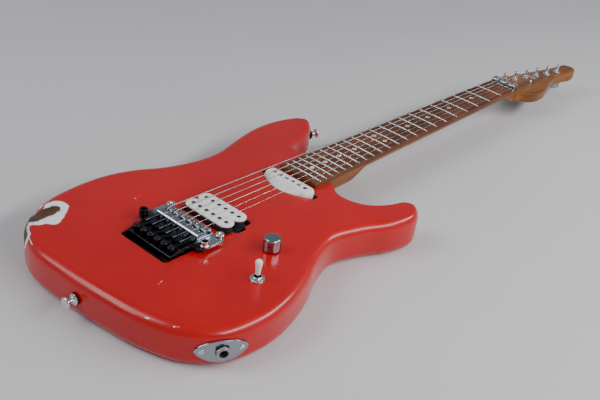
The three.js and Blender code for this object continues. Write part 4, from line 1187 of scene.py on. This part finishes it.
# ---------- pickups ----------
def cover_outline(grow, bow_share=1.0):
    """Straight towards the neck and bowed towards the bridge."""
    x, y = NECK_PICKUP
    front, back = x + 9 + grow, x - 9.5 - grow
    half = 34.5 + grow
    bow = back - 20 * bow_share
    points = [(front, y + 6 - half), (front, y + half - 6)]
    points += bent((front, y + half - 6), (front, y + half), (front - 6, y + half))
    points += bent((back + 5, y + half), (back, y + half), (back - 1 * bow_share, y + half - 7))
    points += bent((back - 1 * bow_share, y + half - 7), (bow, y), (back - 1 * bow_share, y + 7 - half), 22)
    points += bent((back - 1 * bow_share, y + 7 - half), (back, y - half), (back + 5, y - half))
    points += bent((front - 6, y - half), (front, y - half), (front, y + 6 - half))
    return [p for p, q in zip(points, points[-1:] + points[:-1]) if (Vector(p) - Vector(q)).length > 1e-3]


def pole_row(x, y, z0, z1, radius, pitch):
    pole = turned([(0, z0), (radius, z0), (radius, z1), (0, z1)], 0.3, 3, 32)
    return together(*[at(pole, x, y + string_side(k, pitch)) for k in STRINGS])


def pole_holes(x, y, pitch):
    return [at(rod(2.5, TOP, TOP + 20), x, y + string_side(k, pitch)) for k in STRINGS]


def make_humbucker():
    for side, label in ((-1, "bridge"), (1, "neck")):
        screws = side < 0
        x = HUMBUCKER_X + side * (COIL_OFFSET + 0.05)
        oval = stadium((x, -COIL_REACH), (x, COIL_REACH), COIL_HALF - 0.1, 18)
        flange = soft(prism(oval, TOP + 5.6, TOP + 7.8), 0.7, 4, 50)
        lower = soft(prism(oval, TOP - 5.1, TOP - 3.7), 0.4, 2, 50)
        show(f"bobbin_top_{label}", cut(flange, *pole_holes(x, 0, POLE_PITCH)), IVORY, "instrument",
             "humbucker_coils" if screws else ())
        show(f"bobbin_foot_{label}", lower, BLACK, "instrument")
        wound = stadium((x, 1 - COIL_REACH), (x, COIL_REACH - 1), COIL_HALF - 1.2, 18)
        show(f"coil_tape_{label}", prism(wound, TOP - 3.8, TOP + 5.7), BLACK, "instrument")
        poles = pole_row(x, 0, TOP + 4, TOP + (8.25 if screws else 7.9), 2.35, POLE_PITCH)
        if screws:
            middles = [string_side(k, POLE_PITCH) for k in STRINGS]
            slots = [block(x - 3, x + 3, y - 0.35, y + 0.35, TOP + 7.6, TOP + 9) for y in middles]
            poles = cut(poles, *slots)
        show(f"poles_{label}", poles, POLE_STEEL, "instrument")


def make_neck_pickup():
    x, y = NECK_PICKUP
    levels = ((0.0, 1.0, -4.9), (0.0, 1.0, 0.4), (-0.3, 0.8, 2.4), (-0.8, 0.5, 4.2), (-1.1, 0.36, 4.9),
              (-1.7, 0.28, 5.3), (-2.6, 0.2, 5.4))
    cover = loft([[(px, py, TOP + up) for px, py in cover_outline(grow, bow)] for grow, bow, up in levels])
    hollow = prism(cover_outline(-2.6, 0.4), TOP - 6, TOP + 3.8)
    show("neck_pickup_cover", cut(cover, hollow, *pole_holes(x, y, NECK_POLE_PITCH)), IVORY, "instrument",
         "neck_pickup")
    poles = pole_row(x, y, TOP - 8, TOP + 5.8, 2.35, NECK_POLE_PITCH)
    show("neck_pickup_poles", poles, POLE_STEEL, "instrument")
    coil = prism(cover_outline(-3.2, 0.3), TOP - 7.5, TOP + 3.6)
    base = soft(prism(round_rect(x - 4.2, x + 4.2, y - 41, y + 41, 2), TOP - 9, TOP - 6.4), 0.3, 2)
    show("neck_pickup_coil", coil, BLACK, "instrument")
    show("neck_pickup_base", base, BLACK, "instrument")
    screws = together(*[at(cross_screw(2.2, 1.2), x, y + side * 38, TOP - 6.3) for side in (-1, 1)])
    show("neck_pickup_screws", screws, STEEL, "instrument")


# ---------- controls ----------
def make_knob():
    node = "volume_knob"
    place = middle(node)
    top = high(node).z
    radius = 9.45
    profile = [(0, CONTROL_ROOF - 7.9), (2.95, CONTROL_ROOF - 7.9), (2.95, TOP + 4.5), (7.6, TOP + 4.5),
               (7.6, TOP + 1.3), (radius, TOP + 1.3), (radius, top - 2.6), (radius - 1.0, top - 0.9),
               (radius - 3.4, top - 0.12), (0, top - 0.02)]
    knob = turned(profile, 0.7, 5, 96)
    toward = Vector((-0.915, -0.4, 0)).normalized()
    hole = stood(rod(1.25, 7.9, 12, 24), (0, 0, TOP + 8), toward)
    pin = stood(cut(rod(1.15, 6, 8.6, 24), hexagon(0.6, 8, 9)), (0, 0, TOP + 8), toward)
    show("knob_shell", at(cut(knob, hole), place.x, place.y), BRIDGE_CHROME, node, node)
    show("knob_set_screw", at(pin, place.x, place.y), BLACK, node)


def make_toggle():
    lever = "toggle_lever"
    place = middle(lever)
    tip = high(lever).z
    pivot = TOP - 2
    ball = turned([(0, pivot - 2.4), (1.7, pivot - 1.7), (2.2, pivot), (1.45, pivot + 2), (1.45, TOP + 8),
                   (0, TOP + 8)], 0.3, 3, 32)
    cap = turned([(0, TOP + 5.5), (2.2, TOP + 5.5), (2.5, TOP + 7), (3.3, tip - 8), (3.85, tip - 4.6),
                  (3.7, tip - 2.2), (2.3, tip - 0.35), (0, tip)], 1.0, 5)
    show("lever_stem", at(ball, place.x, place.y), CHROME, lever)
    show("lever_tip", at(cap, place.x, place.y), IVORY, lever, lever)
    washer = ring(3.8, 8.0, TOP + 0.3, TOP + 1.15, 0.3, 64)
    nut = turned([(3.75, TOP + 1.1), (6.3, TOP + 1.1), (6.3, TOP + 2.3), (5.2, TOP + 3.9),
                  (3.75, TOP + 4.1), (3.75, TOP + 1.1)], 0.35, 3, 64, 0.25, (TOP + 1.4, TOP + 2.6))
    barrel = ring(3.75, 4.75, CONTROL_ROOF - 1, TOP + 4.35, 0.25)
    case = soft(block(-6.9, 6.9, -8.9, 8.9, CONTROL_ROOF - 14.9, CONTROL_ROOF - 0.35), 0.8, 2)
    case = cut(case, rod(3.75, TOP - 6.1, TOP + 3),
               rod(3.7, TOP - 7.2, TOP - 6))
    show("toggle_hardware", at(together(washer, nut, barrel), place.x, place.y), CHROME, "instrument",
         "toggle_switch")
    show("toggle_case", at(case, place.x, place.y), BLACK, "instrument")


# ---------- output jack ----------
def wall_curve():
    """How far the body's side stands out of the jack's plane, by the distance along it."""
    along_axis = Vector((-JACK_OUT.y, JACK_OUT.x))
    rows = []
    for x, y in spline(BODY_OUTLINE, 12):
        away = Vector((x - JACK.x, y - JACK.y))
        if away.length < JACK_HALF[0] + 16:
            rows.append((away.dot(along_axis), away.dot(JACK_OUT.to_2d())))
    rows.sort()
    return [r[0] for r in rows], [r[1] for r in rows]


def make_jack():
    along_axis = Vector((-JACK_OUT.y, JACK_OUT.x, 0))
    places, outs = wall_curve()

    def wall_point(along, up, off):
        out = float(np.interp(along, places, outs)) + off
        return JACK + along_axis * along + JACK_OUT * out + Vector((0, 0, up))

    long, high_half = JACK_HALF
    steps = 96
    rim = []
    for k in range(steps):
        angle = 2 * math.pi * k / steps
        c, s = math.cos(angle), math.sin(angle)
        rim.append((c, s * abs(s) ** 0.3))
    levels = ((1.0, 0.4), (1.0, 1.5), (0.985, 1.85), (0.96, 1.98), (0.75, 2.0), (0.5, 2.0),
              (0.27, 2.0))
    rings = [[wall_point(c * long * share, s * high_half * share, off) for c, s in rim] for share,
             off in levels]
    rings.insert(0, [wall_point(c * long * 0.5, s * high_half * 0.5, 0.4) for c, s in rim])
    plate = loft(rings)
    bore = stood(rod(6.4, -12, 12, 40), JACK, JACK_OUT)
    show("jack_football", cut(plate, bore), BRIDGE_CHROME, "instrument", "jack_plate")
    for side, label in ((-1, "tail"), (1, "neck")):
        foot = wall_point(side * 19.5, 0, 1.7)
        ahead = wall_point(side * 19.5 + 1, 0, 1.7) - wall_point(side * 19.5 - 1, 0, 1.7)
        normal = Vector((ahead.y, -ahead.x, 0)).normalized()
        show(f"jack_screw_{label}", stood(cross_screw(2.7, 1.0), foot, normal), CHROME, "instrument")
    barrel = turned([(3.6, -24), (5.9, -24), (5.9, 4.3), (3.6, 4.3), (3.6, -24)], 0.4, 3)
    nut = cut(hexagon(8.1, 2.2, 3.8), rod(5.8, 2, 6, 40))
    flange = ring(5.8, 9.3, -8.9, -6.1, 0.4)
    show("jack_barrel", stood(together(barrel, soft(nut, 0.35, 2), flange), JACK, JACK_OUT), STEEL,
         "instrument", "output_jack")
    liner = stood(ring(3.62, 4.6, 4.0, 4.4, 0.1), JACK, JACK_OUT)
    show("jack_liner", liner, BLACK, "instrument")


# ---------- strap buttons and covers ----------
def make_strap_button(label, place, out):
    start = place + out * 0.6
    profile = [(0, -20), (1.6, -20), (1.6, 0.9), (6.3, 0.9), (6.2, 1.4), (3.7, 3.2), (3.15, 5), (3.15, 6.8),
               (5.6, 8.9), (6.35, 9.6), (6.2, 10.8), (5.2, 11.75), (2.2, 11.78), (0, 11.5)]
    show(f"strap_pin_{label}", stood(turned(profile, 0.6, 4), start, out), CHROME, "instrument",
         f"strap_button_{label}")
    show(f"strap_felt_{label}", stood(ring(1.8, 6.6, -0.5, 0.95, 0.3), start, out), FELT, "instrument")


def back_screws(name, places):
    screw = flipped(cross_screw(2.4, 0.75))
    show(name, together(*[at(screw, x, y, 0.8) for x, y in places]), STEEL, "instrument")


def countersinks(places, wide=2.9, bend=0.5, narrow=2.2, deep=1.0, sides=28):
    sink = lathe(((0, -1), (wide, -1), (wide, bend), (narrow, deep), (0, deep)), sides)
    return [at(sink, *place) for place in places]


def make_covers():
    lid = soft(prism(round_rect(-56.7, 111.7, -36.7, 36.7, 5), 0, COVER_THICK), 0.35, 2, 50)
    slot = prism(round_rect(-36, -16, -24, 24, 3), -1, COVER_THICK + 1)
    places = [(x, y) for x in (-51, 27, 106) for y in (-31.5, 31.5)]
    show("spring_lid", cut(lid, slot, *countersinks(places)), BLACK, "instrument",
         "spring_cover")
    back_screws("spring_lid_screws", places)
    plate = soft(prism(stadium(*CONTROL_LINE, CONTROL_RADIUS + 5.7, 20), 0, COVER_THICK), 0.35, 2, 50)
    start, end = Vector(CONTROL_LINE[0]), Vector(CONTROL_LINE[1])
    along = (end - start).normalized()
    side = Vector((-along.y, along.x))
    reach = CONTROL_RADIUS + 2.4
    centre = (start + end) / 2
    places = [start - along * reach, end + along * reach, centre + side * reach, centre - side * reach]
    show("control_lid", cut(plate, *countersinks(places)), BLACK, "instrument",
         "control_cover")
    back_screws("control_lid_screws", places)
    plate = soft(prism(rounded(NECK_PLATE, 4, 6), 0, COVER_THICK), 0.4, 2, 50)
    sinks = countersinks(NECK_SCREWS, 4.1, 0.4, 3.2, 1.2, 32)
    show("neck_bolt_plate", cut(plate, *sinks), CHROME, "instrument", "neck_plate")
    head, shank = flipped(cross_screw(3.5, 0.9)), rod(2, 0.6, HEEL_BOTTOM + 13, 20)
    bolts = together(*[at(part, x, y, z) for x, y in NECK_SCREWS for part, z in ((head, 0.95), (shank, 0))])
    show("neck_bolts", bolts, CHROME, "instrument")


def dress_hidden_nodes():
    """The inner pieces whose frame shape is already their real shape."""
    for node in ("truss_rod", "humbucker_base", "volume_pot"):
        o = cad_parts[node]
        o.data.materials.clear()
        o.data.materials.append(STEEL)


# ---------- studio ----------
FLOOR_Z = -0.0003
FLOOR_HALF = 14.0
EYE = Vector((-0.565016, -0.577841, 0.563422))
AZIMUTH, ELEVATION, ROLL = 0.657452, 0.528331, -0.140606
LENS, SENSOR = 53.84, 36.0


def make_floor():
    signs = ((-1, -1), (1, -1), (1, 1), (-1, 1))
    mesh = bpy.data.meshes.new("floor")
    mesh.from_pydata([(a * FLOOR_HALF, b * FLOOR_HALF, FLOOR_Z) for a, b in signs], [], [(0, 1, 2, 3)])
    mesh.materials.append(floor_cover())
    floor = bpy.data.objects.new("floor", mesh)
    bpy.context.scene.collection.objects.link(floor)


def area_light(name, place, target, size, power, color=(1, 1, 1)):
    data = bpy.data.lights.new(name, "AREA")
    data.shape = "RECTANGLE"
    data.size, data.size_y = size
    data.energy = power
    data.color = color
    light = bpy.data.objects.new(name, data)
    light.location = place
    light.rotation_mode = "QUATERNION"
    light.rotation_quaternion = (Vector(target) - Vector(place)).to_track_quat("-Z", "Y")
    bpy.context.scene.collection.objects.link(light)


def make_lights():
    world = bpy.data.worlds.new("studio")
    world.use_nodes = True
    sky = world.node_tree.nodes["Background"]
    sky.inputs["Color"].default_value = (0.9, 0.93, 1.0, 1)
    sky.inputs["Strength"].default_value = 0.3
    bpy.context.scene.world = world
    area_light("key", (0.5, -1.15, 0.95), (0.05, -0.08, 0.04), (2.3, 0.26), 26, (1.0, 0.97, 0.98))
    area_light("fill", (-1.2, 0.9, 1.5), (0.15, 0.0, 0.0), (1.2, 1.2), 20, (0.97, 0.98, 1.0))


def make_camera():
    forward = Vector((math.cos(ELEVATION) * math.cos(AZIMUTH), math.cos(ELEVATION) * math.sin(AZIMUTH),
                      -math.sin(ELEVATION)))
    level = forward.cross(Vector((0, 0, 1))).normalized()
    down = forward.cross(level)
    right = level * math.cos(ROLL) + down * math.sin(ROLL)
    under = down * math.cos(ROLL) - level * math.sin(ROLL)
    matrix = Matrix((right, -under, -forward)).transposed().to_4x4()
    matrix.translation = EYE
    data = bpy.data.cameras.new("camera")
    data.lens, data.sensor_width = LENS, SENSOR
    data.clip_start, data.clip_end = 0.02, 60
    camera = bpy.data.objects.new("camera", data)
    camera.matrix_world = matrix
    bpy.context.scene.collection.objects.link(camera)
    bpy.context.scene.camera = camera


# ---------- assembly ----------
make_body()
make_neck()
make_board()
make_nut()
make_tree()
for string in STRINGS:
    make_tuner(string)
    make_string(string)
    make_saddle(string)
    make_fine_tuner(string)
make_tremolo()
make_stud(-1, "treble")
make_stud(1, "bass")
make_springs()
make_humbucker()
make_neck_pickup()
make_knob()
make_toggle()
make_jack()
make_strap_button("tail", *TAIL_BUTTON)
make_strap_button("horn", *HORN_BUTTON)
make_covers()
dress_hidden_nodes()
make_floor()
make_lights()
make_camera()
